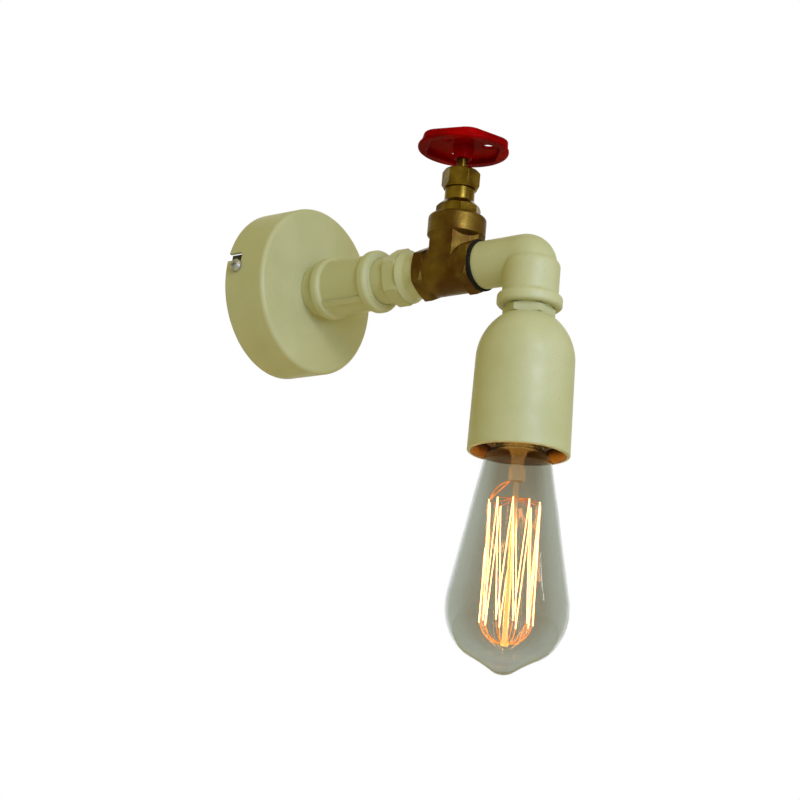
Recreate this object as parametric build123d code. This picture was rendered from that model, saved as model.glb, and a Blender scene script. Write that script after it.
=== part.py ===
from build123d import *
import os
from math import cos, radians, sin, sqrt, tan

os.makedirs("parts", exist_ok=True)

# Wall light made of pipe fittings, in millimetres.
# The wall is the plane Y = 0 and the arm runs out along -Y. Z is up, and X is to the right for
# someone who faces the wall. The origin is the centre of the canopy's back. "Out" below is a
# distance from the wall along the arm; a height is along Z.

# Clearances and fits
THREAD_FIT = 0.05          # between a male and a female thread, on the radius
RUNNING_FIT = 0.05         # between the valve stem and its bores, on the radius
MOVING_GAP = 0.35          # between faces that pass each other
TINY_GAP = 0.05            # between fine lamp parts that only lean on each other

# Canopy
CANOPY_RADIUS = 48.0
CANOPY_DEPTH = 28.0
CANOPY_WALL = 1.5
CANOPY_ROUND = 2.5
CANOPY_NUT_FLATS = 34.0
CANOPY_NUT_HEIGHT = 7.0
CANOPY_WASHER_RADIUS = 19.0
CANOPY_WASHER_HEIGHT = 1.5
CANOPY_NIPPLE_PROUD = 1.2      # how far the nipple stands through its nut
CANOPY_NIPPLE_GRIP = 19.0      # how deep it sits in the coupling

# Bayonet lock: screws in the bracket, slots in the canopy
LOCK_TILT = 4.0                # the bracket's ears lie this many degrees off the level
LOCK_TWIST = 7.5               # the canopy turns this far to reach the open leg of its slots
LOCK_SETBACK = 7.7             # screw axis, out from the wall
LOCK_SCREW_RADIUS = 2.0        # M4
LOCK_HEAD_RADIUS = 3.7
LOCK_HEAD_HEIGHT = 2.6
LOCK_SCREW_TAIL = 4.0          # what stands inside the ear

# Wall bracket
STRAP_WIDTH = 16.0
STRAP_THICKNESS = 2.0
STRAP_BEND = 1.5
EAR_DEPTH = 13.0
WALL_HOLE_CIRCLE = 60.0        # the two wall screws, centre to centre
WALL_HOLE_RADIUS = 2.5
CABLE_HOLE_RADIUS = 5.25
EARTH_HOLE_PLACE = 17.0
EARTH_SCREW_RADIUS = 2.0
EARTH_HEAD_RADIUS = 3.6
EARTH_HEAD_HEIGHT = 2.4
EARTH_SCREW_LENGTH = 4.5

# Terminal block in the canopy
BLOCK_POLES = 3
BLOCK_PITCH = 9.5
BLOCK_WIDTH = 17.0             # along the wires
BLOCK_HEIGHT = 12.5            # out from the wall
BLOCK_RIM_GAP = 9.5            # from the block's upper side to the canopy's inner wall
BLOCK_BACK = 5.5               # its side next to the wall, out from the wall
CLAMP_RADIUS = 2.9
CLAMP_BORE = 1.6
CLAMP_SCREW_RADIUS = 1.3
CLAMP_SCREW_INSET = 4.6        # screw axis from the end of the block
BLOCK_SCREW_RADIUS = 1.5
BLOCK_SCREW_HEAD_RADIUS = 2.7
BLOCK_SCREW_HEAD_HEIGHT = 1.6
BOSS_RADIUS = 3.4
CANOPY_EARTH_X = 29.0
CANOPY_EARTH_Z = 12.0
EARTH_BOSS_HEIGHT = 3.5

# Wires
WIRE_RADIUS = 1.0
WIRE_SPREAD = 2.6              # from the middle of the pipe to each wire
WIRE_SAG = 5.0                 # the wires rest this far under the pipe's axis
WIRE_STRAIGHT = 4.5            # straight end under the terminal block

# Pipe thread shared by coupling, nipples, valve and elbow (3/4 inch size)
PIPE_THREAD_RADIUS = 13.15
PIPE_BORE = 9.6

# Coupling
COUPLING_LENGTH = 49.0
COUPLING_RADIUS = 15.8
COUPLING_FOOT_RADIUS = 14.6
BEAD_RADIUS = 17.7
BEAD_WIDTH = 7.2
BEAD_ROUND = 3.0
COUPLING_FOOT = 7.0            # narrow length between the canopy and the first bead
COUPLING_LIP_RADIUS = 15.2
COUPLING_LIP = 0.6             # plain length past the second bead
RIB_WIDTH = 4.2
RIB_HEIGHT = 0.8
RIB_ANGLE = 231.0

# Hexagon nipple: thread, hexagon, cone and a short round neck at the valve
NIPPLE_GRIP = 18.0
NIPPLE_NECK = 8.8
NIPPLE_HEX_FLATS = 28.0
NIPPLE_HEX_LENGTH = 9.7
NIPPLE_HEX_TURN = 42.0         # direction of one corner
NIPPLE_CONE_RADIUS = 15.2
NIPPLE_CONE_LENGTH = 4.1
NIPPLE_FAR_NECK = 7.1

# Gate valve body
VALVE_HALF_LENGTH = 18.7
VALVE_WAIST_RADIUS = 13.9
VALVE_HEX_FLATS = 27.8
VALVE_HEX_LENGTH = 6.8
VALVE_CHAMFER = (1.0, 1.0)
VALVE_PORT_RADIUS = 12.6
VALVE_PORT_DEPTH = 11.5
PORT_SPARE = 1.0               # free length of a port past the thread screwed into it
BARREL_FLATS = 27.0
BARREL_TOP = 18.5
COLLAR_RADIUS = 16.1
COLLAR_TOP = 30.5
COLLAR_ROUND = 2.0
CHAMBER_RADIUS = 9.8

# Bonnet, packing and gland nut
BONNET_THREAD_RADIUS = 11.9
BONNET_THREAD_LENGTH = 8.5
BONNET_FLANGE_FLATS = 23.0     # eight-sided
BONNET_FLANGE_HEIGHT = 5.1
BONNET_NECK_RADIUS = 8.3
BONNET_CONE_HEIGHT = 3.9
BONNET_NECK_HEIGHT = 7.2
GLAND_THREAD_RADIUS = 7.0
GLAND_THREAD_HEIGHT = 8.0
GLAND_FLATS = 18.4
GLAND_HEIGHT = 10.8
GLAND_TOP_WALL = 2.2
GLAND_CHAMFER = (2.2, 1.2)

# Stem and handwheel
STEM_RADIUS = 3.0
STEM_COLLAR_RADIUS = 6.0
STEM_COLLAR_HEIGHT = 3.2
STEM_SHOW = 7.2                # bare stem between gland nut and hub
STEM_SQUARE = 4.4
STEM_TIP_RADIUS = 2.0          # M4
WHEEL_CORNER_REACH = 25.8
WHEEL_FLAT_REACH = 23.6
WHEEL_LOBES = 6
WHEEL_TURN = 165.0             # direction of the first lobe
WHEEL_RIM_HEIGHT = 5.3
WHEEL_RIM_WIDTH = 4.2
WHEEL_LIP_RADIUS = 25.4        # round lip under the six-lobed rim
WHEEL_LIP_HEIGHT = 2.1
WHEEL_LIP_ROUND = 0.9
WHEEL_HUB_DROP = 4.7           # the hub starts this far under the rim
WHEEL_WEB = 1.8
WHEEL_TOP_DISH = 1.0
WHEEL_ROUND = 1.4
HUB_RADIUS = 6.0
WHEEL_HOLES = 3
WHEEL_HOLE_RADIUS = 3.2
WHEEL_HOLE_CIRCLE = 14.0
WHEEL_HOLE_TURN = 55.0
WHEEL_NUT_FLATS = 7.0
WHEEL_NUT_HEIGHT = 3.0
WHEEL_WASHER_RADIUS = 4.6
WHEEL_WASHER_HEIGHT = 0.8
STEM_TIP_PROUD = 1.0

# Seal between valve and elbow
SEAL_HEIGHT = 2.0
SEAL_RADIUS = 14.2

# Street elbow
ELBOW_REACH = 32.4             # from its shoulder to the axis of the falling leg
ELBOW_MALE_RADIUS = 13.1
ELBOW_BEND_RADIUS = 5.0
ELBOW_BODY_RADIUS = 13.3
ELBOW_LEG_RADIUS = 15.1
ELBOW_LEG_TOP = -1.0
ELBOW_LEG_ROUND = 4.5
ELBOW_END = -28.0
ELBOW_BEAD_RADIUS = 17.6
ELBOW_BEAD_WIDTH = 7.0
ELBOW_BEAD_ROUND = 3.2
ELBOW_SOCKET_DEPTH = 14.0

# Reducer between elbow and cup
REDUCER_GRIP = 13.0
REDUCER_FLATS = 24.5
REDUCER_CHAMFER = (0.9, 0.9)
REDUCER_NECK_HEIGHT = 5.5
REDUCER_BORE = 6.5
CUP_THREAD_RADIUS = 8.0
CUP_THREAD_LENGTH = 12.5

# Cup
CUP_DOME_RADIUS = 30.4
CUP_SHOULDER_RADIUS = 26.3
CUP_MOUTH_RADIUS = 27.1
CUP_DOME_DROP = 24.5
CUP_LENGTH = 74.5
CUP_WALL = 2.8
CUP_TOP_WALL = 3.5
CUP_WASHER_RADIUS = 12.0
CUP_WASHER_HEIGHT = 1.2
CUP_NUT_FLATS = 22.0
CUP_NUT_HEIGHT = 5.0

# Lampholder
TUBE_RADIUS = 5.0              # M10 threaded tube
TUBE_BORE = 3.6
TUBE_GRIP = 6.0
TUBE_CAP_GRIP = 4.5
TUBE_SHOW = 14.0
TUBE_NUT_FLATS = 14.0
TUBE_NUT_HEIGHT = 3.5
HOLDER_RADIUS = 18.0
HOLDER_CAP_HEIGHT = 15.0
HOLDER_CAP_TOP_RADIUS = 9.5
HOLDER_CAP_WALL = 2.5
HOLDER_BODY_HEIGHT = 28.0
HOLDER_SHELL_WALL = 0.5
INSERT_HEIGHT = 4.0
CONTACT_THICKNESS = 0.4
CONTACT_WIDTH = 6.0
CONTACT_LENGTH = 15.0
SIDE_CONTACT_PLACE = 11.5
HOLDER_SCREW_PLACE = 8.5
HOLDER_SCREW_RADIUS = 1.5
HOLDER_SCREW_HEAD_RADIUS = 2.8
HOLDER_SCREW_HEAD_HEIGHT = 1.8

# Lamp: cap E27, pear-shaped bulb 64 mm across
LAMP_CAP_RADIUS = 13.1
LAMP_CAP_WALL = 0.5
LAMP_CAP_LENGTH = 22.0
LAMP_CAP_SLOPE = 1.6
LAMP_INSULATOR_HEIGHT = 2.8
LAMP_INSULATOR_RADIUS = 5.4
LAMP_CONTACT_RADIUS = 4.6
LAMP_CONTACT_HEIGHT = 1.7
GLASS_WALL = 0.9
GLASS_NECK_RADIUS = 12.5
GLASS_NECK_GRIP = 5.0
BULB_LENGTH = 119.45           # from the rim of the cap to the tip
BULB_RADIUS = 32.0
BULB_NECK_RADIUS = 17.2
BULB_NECK_DROP = 4.2           # from the rim of the cap to the neck's shoulder
BULB_NECK_ROUND = 4.0
BULB_BELLY_HEIGHT = 38.3       # the three heights above the tip where the outline turns
BULB_BELLY_ROUND = 32.0
BULB_HIP_HEIGHT = 22.5
BULB_HIP_ROUND = 31.0
BULB_BASE_HEIGHT = 10.4
BULB_BASE_ROUND = 19.0
BULB_BASE_RADIUS = 21.85
TIP_HEIGHT = 6.0
TIP_RADIUS = 12.4
TIP_ROUND = 80.0
TIP_FLAT_RADIUS = 3.2
TIP_FLAT_ROUND = 8.0
STEM_PRESS_PLACE = 18.9        # lower end of the pressed glass foot, below the rim of the cap
STEM_FLARE_RADIUS = 9.0
STEM_TUBE_RADIUS = 3.4
ROD_RADIUS = 1.5
ROD_BUTTON_RADIUS = 2.1
ROD_END_PLACE = 104.9
CAGE_TURN = 140.0              # direction of the lead wires around the rod
CAGE_TOP_PLACE = 29.9
CAGE_BOTTOM_PLACE = 93.4
CAGE_RADIUS = 13.8
CAGE_HOOKS = 10
FILAMENT_RADIUS = 0.25
HOOK_RADIUS = 0.25
LEAD_RADIUS = 0.4
LEAD_BULGE = 2.6               # the arced lead stands this far above a straight line


# Places that follow from the sizes

canopy_face_inside = CANOPY_DEPTH - CANOPY_WALL
canopy_inner_radius = CANOPY_RADIUS - CANOPY_WALL
washer_back = canopy_face_inside - CANOPY_WASHER_HEIGHT
nut_back = washer_back - CANOPY_NUT_HEIGHT
nipple_back = nut_back - CANOPY_NIPPLE_PROUD
thread_bore = PIPE_THREAD_RADIUS + THREAD_FIT
ear_outside = sqrt(canopy_inner_radius**2 - (STRAP_WIDTH / 2) ** 2) - MOVING_GAP
block_middle = canopy_inner_radius - BLOCK_RIM_GAP - BLOCK_WIDTH / 2
block_low_edge = block_middle - BLOCK_WIDTH / 2
block_middle_out = BLOCK_BACK + BLOCK_HEIGHT / 2

coupling_end = CANOPY_DEPTH + COUPLING_LENGTH
hex_start = coupling_end + NIPPLE_NECK
hex_end = hex_start + NIPPLE_HEX_LENGTH
cone_end = hex_end + NIPPLE_CONE_LENGTH
valve_start = cone_end + NIPPLE_FAR_NECK
valve_axis = valve_start + VALVE_HALF_LENGTH
valve_end = valve_axis + VALVE_HALF_LENGTH
elbow_start = valve_end + SEAL_HEIGHT
drop_axis = elbow_start + ELBOW_REACH

flange_top = COLLAR_TOP + BONNET_FLANGE_HEIGHT
bonnet_cone_top = flange_top + BONNET_CONE_HEIGHT
neck_top = bonnet_cone_top + BONNET_NECK_HEIGHT
gland_top = neck_top + GLAND_HEIGHT
packing_low = neck_top + GLAND_THREAD_HEIGHT
packing_high = gland_top - GLAND_TOP_WALL
stem_bore = STEM_RADIUS + RUNNING_FIT
hub_low = gland_top + STEM_SHOW
rim_low = hub_low + WHEEL_HUB_DROP
rim_high = rim_low + WHEEL_RIM_HEIGHT
web_high = rim_high - WHEEL_TOP_DISH
web_low = web_high - WHEEL_WEB
wheel_washer_high = rim_high + WHEEL_WASHER_HEIGHT
wheel_nut_high = wheel_washer_high + WHEEL_NUT_HEIGHT

cup_top = ELBOW_END - REDUCER_NECK_HEIGHT
cup_ceiling = cup_top - CUP_TOP_WALL
cup_shoulder = cup_top - CUP_DOME_DROP
cup_mouth = cup_top - CUP_LENGTH
cup_washer_low = cup_ceiling - CUP_WASHER_HEIGHT
cup_nut_low = cup_washer_low - CUP_NUT_HEIGHT
reducer_low = cup_top - CUP_THREAD_LENGTH
tube_top = reducer_low + TUBE_GRIP
holder_top = reducer_low - TUBE_SHOW
tube_low = holder_top - TUBE_CAP_GRIP
holder_split = holder_top - HOLDER_CAP_HEIGHT
holder_mouth = holder_split - HOLDER_BODY_HEIGHT
insert_low = holder_split - CONTACT_THICKNESS
insert_high = insert_low + INSERT_HEIGHT
shell_outer = LAMP_CAP_RADIUS + MOVING_GAP + HOLDER_SHELL_WALL
contact_spring_low = insert_low - 2 * CONTACT_THICKNESS - 1.0
lamp_top = contact_spring_low - MOVING_GAP
insulator_top = lamp_top - LAMP_CONTACT_HEIGHT
lamp_cap_top = insulator_top - LAMP_INSULATOR_HEIGHT
lamp_rim = lamp_cap_top - LAMP_CAP_LENGTH
bulb_tip = lamp_rim - BULB_LENGTH
stem_press = lamp_rim - STEM_PRESS_PLACE
rod_end = lamp_rim - ROD_END_PLACE
cage_top = lamp_rim - CAGE_TOP_PLACE
cage_bottom = lamp_rim - CAGE_BOTTOM_PLACE
cage_step = 360 / CAGE_HOOKS


# Frames in which the parts are drawn
ARM = Plane(origin=(0, 0, 0), x_dir=(1, 0, 0), z_dir=(0, -1, 0))
VALVE = Location((0, -valve_axis, 0))
DROP = Location((0, -drop_axis, 0))
CAGE = DROP * Rot(0, 0, CAGE_TURN)


def turned(corners):
    """Solid turned about local Z. Each corner is (radius, height, rounding)."""
    points = [(radius, 0, height) for radius, height, _ in corners]
    roundings = [rounding for _, _, rounding in corners]
    outline = FilletPolyline(*points, radius=roundings, close=True)
    return revolve(make_face(outline), axis=Axis.Z)


def rod(radius, low, high):
    return turned([(0, low, 0), (radius, low, 0), (radius, high, 0), (0, high, 0)])


def ring(outer, inner, low, high, rounding=0.0):
    return turned(
        [(inner, low, 0), (outer, low, rounding), (outer, high, rounding), (inner, high, 0)]
    )


def bar(flats, low, high, turn=0.0, chamfers=(0.0, 0.0), sides=6):
    """Bar with flat sides along local Z, its corners turned off at the lower and the upper end."""
    solid = extrude(RegularPolygon(flats / 2, sides, major_radius=False), high - low)
    solid = solid.rotate(Axis.Z, turn).translate((0, 0, low))
    if max(chamfers) > 0:
        face = flats / 2
        corner = face / cos(radians(180 / sides))
        solid = solid & turned(
            [
                (0, low, 0),
                (face, low, 0),
                (corner, low + chamfers[0], 0),
                (corner, high - chamfers[1], 0),
                (face, high, 0),
                (0, high, 0),
            ]
        )
    return solid


def nut(flats, bore, low, high, turn=0.0, chamfer_height=0.8):
    body = bar(flats, low, high, turn, (chamfer_height, chamfer_height))
    return body - rod(bore, low - 1, high + 1)


def domed_screw(head_radius, head_height, shank_radius, shank_length):
    """Round-headed screw along local Z, the underside of its head at zero."""
    head = turned(
        [
            (0, 0, 0),
            (head_radius, 0, 0),
            (head_radius, head_height * 0.45, 0),
            (head_radius * 0.6, head_height, 0),
            (0, head_height, 0),
        ]
    )
    cross = Box(head_radius * 1.1, head_radius * 0.22, head_height) + Box(
        head_radius * 0.22, head_radius * 1.1, head_height
    )
    head = head - cross.translate((0, 0, head_height * 1.05))
    return head + rod(shank_radius, -shank_length, 0)


def wire(points, radius):
    """Round wire through points: straight runs joined by the largest tangent arcs."""
    spots = [Vector(*point) for point in points]
    bends = []
    for before, here, after in zip(spots, spots[1:], spots[2:]):
        turn = (here - before).get_angle(after - here)
        shorter = min((here - before).length, (after - here).length)
        bends.append(0.45 * shorter / tan(radians(turn / 2)))
    path = FilletPolyline(*spots, radius=bends)
    section = Plane(origin=path @ 0, z_dir=path % 0) * Circle(radius)
    print("wire: length", round(path.length, 1), "tightest bend", round(min(bends), 1))
    return sweep(section, path=path)


# Canopy and wall bracket


def lock_slot():
    """L-shaped slot on the +X side: an arc back from the screw, then a leg to the open rim."""
    half = LOCK_SCREW_RADIUS + MOVING_GAP
    depth = 2 * CANOPY_WALL + 2
    radius = CANOPY_RADIUS - CANOPY_WALL / 2
    band = Pos(radius, -LOCK_SETBACK) * Rectangle(depth, 2 * half)
    arc_leg = revolve(band, axis=Axis.Y, revolution_arc=LOCK_TWIST)
    end = Cylinder(half, depth).rotate(Axis.Y, 90).translate((radius, -LOCK_SETBACK, 0))
    open_leg = Box(depth, LOCK_SETBACK + 1, 2 * half)
    open_leg = open_leg.translate((radius, (1 - LOCK_SETBACK) / 2, 0))
    return arc_leg + end + (end + open_leg).rotate(Axis.Y, LOCK_TWIST)


def make_canopy():
    hole = thread_bore
    shell = turned(
        [
            (hole, CANOPY_DEPTH, 0),
            (CANOPY_RADIUS, CANOPY_DEPTH, CANOPY_ROUND),
            (CANOPY_RADIUS, 0, 0),
            (canopy_inner_radius, 0, 0),
            (canopy_inner_radius, canopy_face_inside, CANOPY_ROUND - CANOPY_WALL),
            (hole, canopy_face_inside, 0),
        ]
    )
    block_boss = rod(BOSS_RADIUS, BLOCK_BACK + BLOCK_HEIGHT, canopy_face_inside)
    block_boss = block_boss - rod(
        BLOCK_SCREW_RADIUS, BLOCK_BACK + BLOCK_HEIGHT, canopy_face_inside - 1
    )
    shell = shell + block_boss.translate((BLOCK_PITCH / 2, block_middle, 0))
    earth_low = canopy_face_inside - EARTH_BOSS_HEIGHT
    earth_boss = rod(BOSS_RADIUS, earth_low, canopy_face_inside)
    earth_boss = earth_boss - rod(EARTH_SCREW_RADIUS, earth_low, canopy_face_inside)
    shell = shell + earth_boss.translate((CANOPY_EARTH_X, CANOPY_EARTH_Z, 0))
    shell = ARM * shell
    for side in (0, 180):
        shell = shell - lock_slot().rotate(Axis.Y, LOCK_TILT + side)
    return shell


def make_wall_bracket():
    half_width = STRAP_WIDTH / 2
    strap = Box(2 * ear_outside, STRAP_THICKNESS, STRAP_WIDTH).translate((0, -STRAP_THICKNESS / 2, 0))
    for side in (-1, 1):
        ear = Box(STRAP_THICKNESS, EAR_DEPTH, STRAP_WIDTH)
        strap = strap + ear.translate(
            (side * (ear_outside - STRAP_THICKNESS / 2), -EAR_DEPTH / 2, 0)
        )
    outer_bends = [
        edge
        for edge in strap.edges().filter_by(Axis.Z)
        if abs(edge.center().Y) < 0.01 and abs(edge.center().X) > half_width
    ]
    strap = fillet(outer_bends, STRAP_BEND)
    strap = strap - Cylinder(CABLE_HOLE_RADIUS, 4 * STRAP_THICKNESS).rotate(Axis.X, 90)
    for side in (-1, 1):
        hole = Cylinder(WALL_HOLE_RADIUS, 4 * STRAP_THICKNESS).rotate(Axis.X, 90)
        strap = strap - hole.translate((side * WALL_HOLE_CIRCLE / 2, 0, 0))
    earth_hole = Cylinder(EARTH_SCREW_RADIUS, 4 * STRAP_THICKNESS).rotate(Axis.X, 90)
    strap = strap - earth_hole.translate((EARTH_HOLE_PLACE, 0, 0))
    screw_holes = Cylinder(LOCK_SCREW_RADIUS, 4 * ear_outside).rotate(Axis.Y, 90)
    strap = strap - screw_holes.translate((0, -LOCK_SETBACK, 0))
    return strap.rotate(Axis.Y, LOCK_TILT)


def make_lock_screws():
    head_seat = CANOPY_RADIUS + MOVING_GAP
    shank = head_seat - ear_outside + STRAP_THICKNESS + LOCK_SCREW_TAIL
    screw = domed_screw(LOCK_HEAD_RADIUS, LOCK_HEAD_HEIGHT, LOCK_SCREW_RADIUS, shank)
    screw = screw.rotate(Axis.Y, 90).translate((head_seat, -LOCK_SETBACK, 0))
    return [screw.rotate(Axis.Y, LOCK_TILT + side) for side in (0, 180)]


def make_bracket_earth_screw():
    screw = domed_screw(
        EARTH_HEAD_RADIUS, EARTH_HEAD_HEIGHT, EARTH_SCREW_RADIUS, STRAP_THICKNESS
    )
    screw = (ARM * screw).translate((EARTH_HOLE_PLACE, -STRAP_THICKNESS, 0))
    return screw.rotate(Axis.Y, LOCK_TILT)


def make_canopy_nipple():
    return ARM * ring(PIPE_THREAD_RADIUS, PIPE_BORE, nipple_back, CANOPY_DEPTH + CANOPY_NIPPLE_GRIP, 0.6)


def make_canopy_washer():
    return ARM * ring(CANOPY_WASHER_RADIUS, thread_bore, washer_back, canopy_face_inside)


def make_canopy_locknut():
    return ARM * nut(CANOPY_NUT_FLATS, thread_bore, nut_back, washer_back, 30, 1.5)


# Terminal block


def pole_x(pole):
    return (pole - (BLOCK_POLES - 1) / 2) * BLOCK_PITCH


def make_terminal_block():
    """Moulded block: a rounded bar with a lane and two screw wells for each pole."""
    block = Box(BLOCK_POLES * BLOCK_PITCH, BLOCK_HEIGHT, BLOCK_WIDTH)
    block = chamfer(block.edges().filter_by(Axis.X).group_by(Axis.Y)[-1], 2.0)
    for pole in range(BLOCK_POLES - 1):
        groove = Box(1.2, BLOCK_HEIGHT, 1.5)
        for side in (-1, 1):
            block = block - groove.translate(
                (pole_x(pole) + BLOCK_PITCH / 2, 0, side * BLOCK_WIDTH / 2)
            )
    for pole in range(BLOCK_POLES):
        lane = Cylinder(CLAMP_RADIUS + TINY_GAP, BLOCK_WIDTH - 4)
        entry = Cylinder(CLAMP_BORE + 0.6, 2 * BLOCK_WIDTH)
        block = block - (lane + entry).translate((pole_x(pole), 0, 0))
        for side in (-1, 1):
            well = Cylinder(CLAMP_SCREW_RADIUS + 0.5, BLOCK_HEIGHT).rotate(Axis.X, 90)
            block = block - well.translate(
                (pole_x(pole), BLOCK_HEIGHT / 2, side * (BLOCK_WIDTH / 2 - CLAMP_SCREW_INSET))
            )
    fixing = Cylinder(BLOCK_SCREW_RADIUS + 0.2, 2 * BLOCK_HEIGHT).rotate(Axis.X, 90)
    block = block - fixing.translate((BLOCK_PITCH / 2, 0, 0))
    return block.translate((0, -block_middle_out, block_middle))


def make_terminal_clamps():
    clamps = []
    for pole in range(BLOCK_POLES):
        clamp = ring(CLAMP_RADIUS, CLAMP_BORE, -BLOCK_WIDTH / 2 + 2, BLOCK_WIDTH / 2 - 2)
        for side in (-1, 1):
            tap = Cylinder(CLAMP_SCREW_RADIUS + TINY_GAP, 2 * CLAMP_RADIUS).rotate(Axis.X, 90)
            clamp = clamp - tap.translate(
                (0, CLAMP_RADIUS, side * (BLOCK_WIDTH / 2 - CLAMP_SCREW_INSET))
            )
        clamps.append(clamp.translate((pole_x(pole), -block_middle_out, block_middle)))
    return clamps


def make_terminal_screws():
    tip = WIRE_RADIUS + TINY_GAP
    head = CLAMP_RADIUS + 1.2
    screws = []
    for pole in range(BLOCK_POLES):
        for side in (-1, 1):
            screw = rod(CLAMP_SCREW_RADIUS, tip, head)
            screw = screw - Box(2 * CLAMP_SCREW_RADIUS + 1, 0.5, 1.2).translate((0, 0, head))
            screw = screw.rotate(Axis.X, -90)
            screws.append(
                screw.translate(
                    (
                        pole_x(pole),
                        -block_middle_out,
                        block_middle + side * (BLOCK_WIDTH / 2 - CLAMP_SCREW_INSET),
                    )
                )
            )
    return screws


def make_block_screw():
    screw = domed_screw(
        BLOCK_SCREW_HEAD_RADIUS,
        BLOCK_SCREW_HEAD_HEIGHT,
        BLOCK_SCREW_RADIUS,
        canopy_face_inside - BLOCK_BACK - 2,
    )
    screw = screw.rotate(Axis.X, -90)
    return screw.translate((BLOCK_PITCH / 2, -BLOCK_BACK, block_middle))


def make_canopy_earth_screw():
    seat = canopy_face_inside - EARTH_BOSS_HEIGHT
    screw = domed_screw(
        EARTH_HEAD_RADIUS, EARTH_HEAD_HEIGHT, EARTH_SCREW_RADIUS, EARTH_BOSS_HEIGHT
    )
    screw = screw.rotate(Axis.X, -90)
    return screw.translate((CANOPY_EARTH_X, -seat, CANOPY_EARTH_Z))


# Wires. They enter the clamps from below, turn into the canopy nipple and follow the pipe.


def pipe_wire(side):
    """Live (side -1) or neutral (side +1) wire from its clamp to its lampholder screw."""
    clamp_x = (side - 1) * BLOCK_PITCH / 2
    points = [
        (clamp_x, -block_middle_out, block_middle),
        (clamp_x, -block_middle_out, block_low_edge - WIRE_STRAIGHT),
        (side * WIRE_SPREAD, -block_middle_out - 2.5, 0.5),
        (side * WIRE_SPREAD, -(CANOPY_DEPTH + coupling_end) / 2, -WIRE_SAG),
        (side * WIRE_SPREAD, -hex_end, -WIRE_SAG + 1.0),
        (side * WIRE_SPREAD, -valve_axis, -WIRE_SAG),
        (side * WIRE_SPREAD, -drop_axis + PIPE_BORE, -1.0),
        (side * 1.6, -drop_axis - 1.5, ELBOW_END + 10.0),
        (side * 1.3, -drop_axis, reducer_low),
        (side * 1.2, -drop_axis, tube_low + 1.5),
        (side * (HOLDER_SCREW_PLACE - 3.4), -drop_axis, insert_high + 1.2),
    ]
    return wire(points, WIRE_RADIUS)


def make_wire_live():
    return pipe_wire(-1)


def make_wire_neutral():
    return pipe_wire(1)


def make_wire_earth():
    boss_face = canopy_face_inside - EARTH_BOSS_HEIGHT
    points = [
        (BLOCK_PITCH, -block_middle_out, block_middle),
        (BLOCK_PITCH, -block_middle_out, block_low_edge - 2.5),
        (14.0, -block_middle_out - 1.5, 8.5),
        (20.5, -block_middle_out - 4.5, 6.5),
        (CANOPY_EARTH_X - 5.2, -boss_face + 1.2, CANOPY_EARTH_Z - 1.5),
    ]
    return wire(points, WIRE_RADIUS)


# Coupling and nipple


def make_coupling():
    start = CANOPY_DEPTH
    first = start + COUPLING_FOOT
    second = coupling_end - COUPLING_LIP - BEAD_WIDTH
    body = turned(
        [
            (thread_bore, start, 0),
            (COUPLING_FOOT_RADIUS, start, 0),
            (COUPLING_FOOT_RADIUS, first, 1.5),
            (BEAD_RADIUS, first + 1, BEAD_ROUND * 0.8),
            (BEAD_RADIUS, first + BEAD_WIDTH - 1, BEAD_ROUND * 0.8),
            (COUPLING_RADIUS, first + BEAD_WIDTH, 1.5),
            (COUPLING_RADIUS, second, 1.5),
            (BEAD_RADIUS, second + 1, BEAD_ROUND * 0.8),
            (BEAD_RADIUS, second + BEAD_WIDTH - 1, BEAD_ROUND * 0.8),
            (COUPLING_LIP_RADIUS, second + BEAD_WIDTH, 0.2),
            (COUPLING_LIP_RADIUS, coupling_end, 0.2),
            (thread_bore, coupling_end, 0),
        ]
    )
    middle = (first + second + BEAD_WIDTH) / 2
    ribs = Box(2 * (COUPLING_RADIUS + RIB_HEIGHT), RIB_WIDTH, second - first)
    ribs = ribs.translate((0, 0, middle))
    ribs = ribs.rotate(Axis.Z, RIB_ANGLE) - rod(thread_bore, start, coupling_end)
    return ARM * (body + ribs)


def make_hex_nipple():
    near = rod(PIPE_THREAD_RADIUS, coupling_end - NIPPLE_GRIP, hex_start)
    grip = bar(NIPPLE_HEX_FLATS, hex_start, hex_end, NIPPLE_HEX_TURN, (1.2, 0.6))
    far = turned(
        [
            (0, hex_end, 0),
            (NIPPLE_CONE_RADIUS, hex_end, 0),
            (PIPE_THREAD_RADIUS, cone_end, 0.6),
            (PIPE_THREAD_RADIUS, valve_start, 0),
            (VALVE_PORT_RADIUS, valve_start, 0),
            (VALVE_PORT_RADIUS, valve_start + VALVE_PORT_DEPTH - PORT_SPARE, 0),
            (0, valve_start + VALVE_PORT_DEPTH - PORT_SPARE, 0),
        ]
    )
    return ARM * (near + grip + far - rod(PIPE_BORE, CANOPY_DEPTH, valve_axis))


# Gate valve


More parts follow.
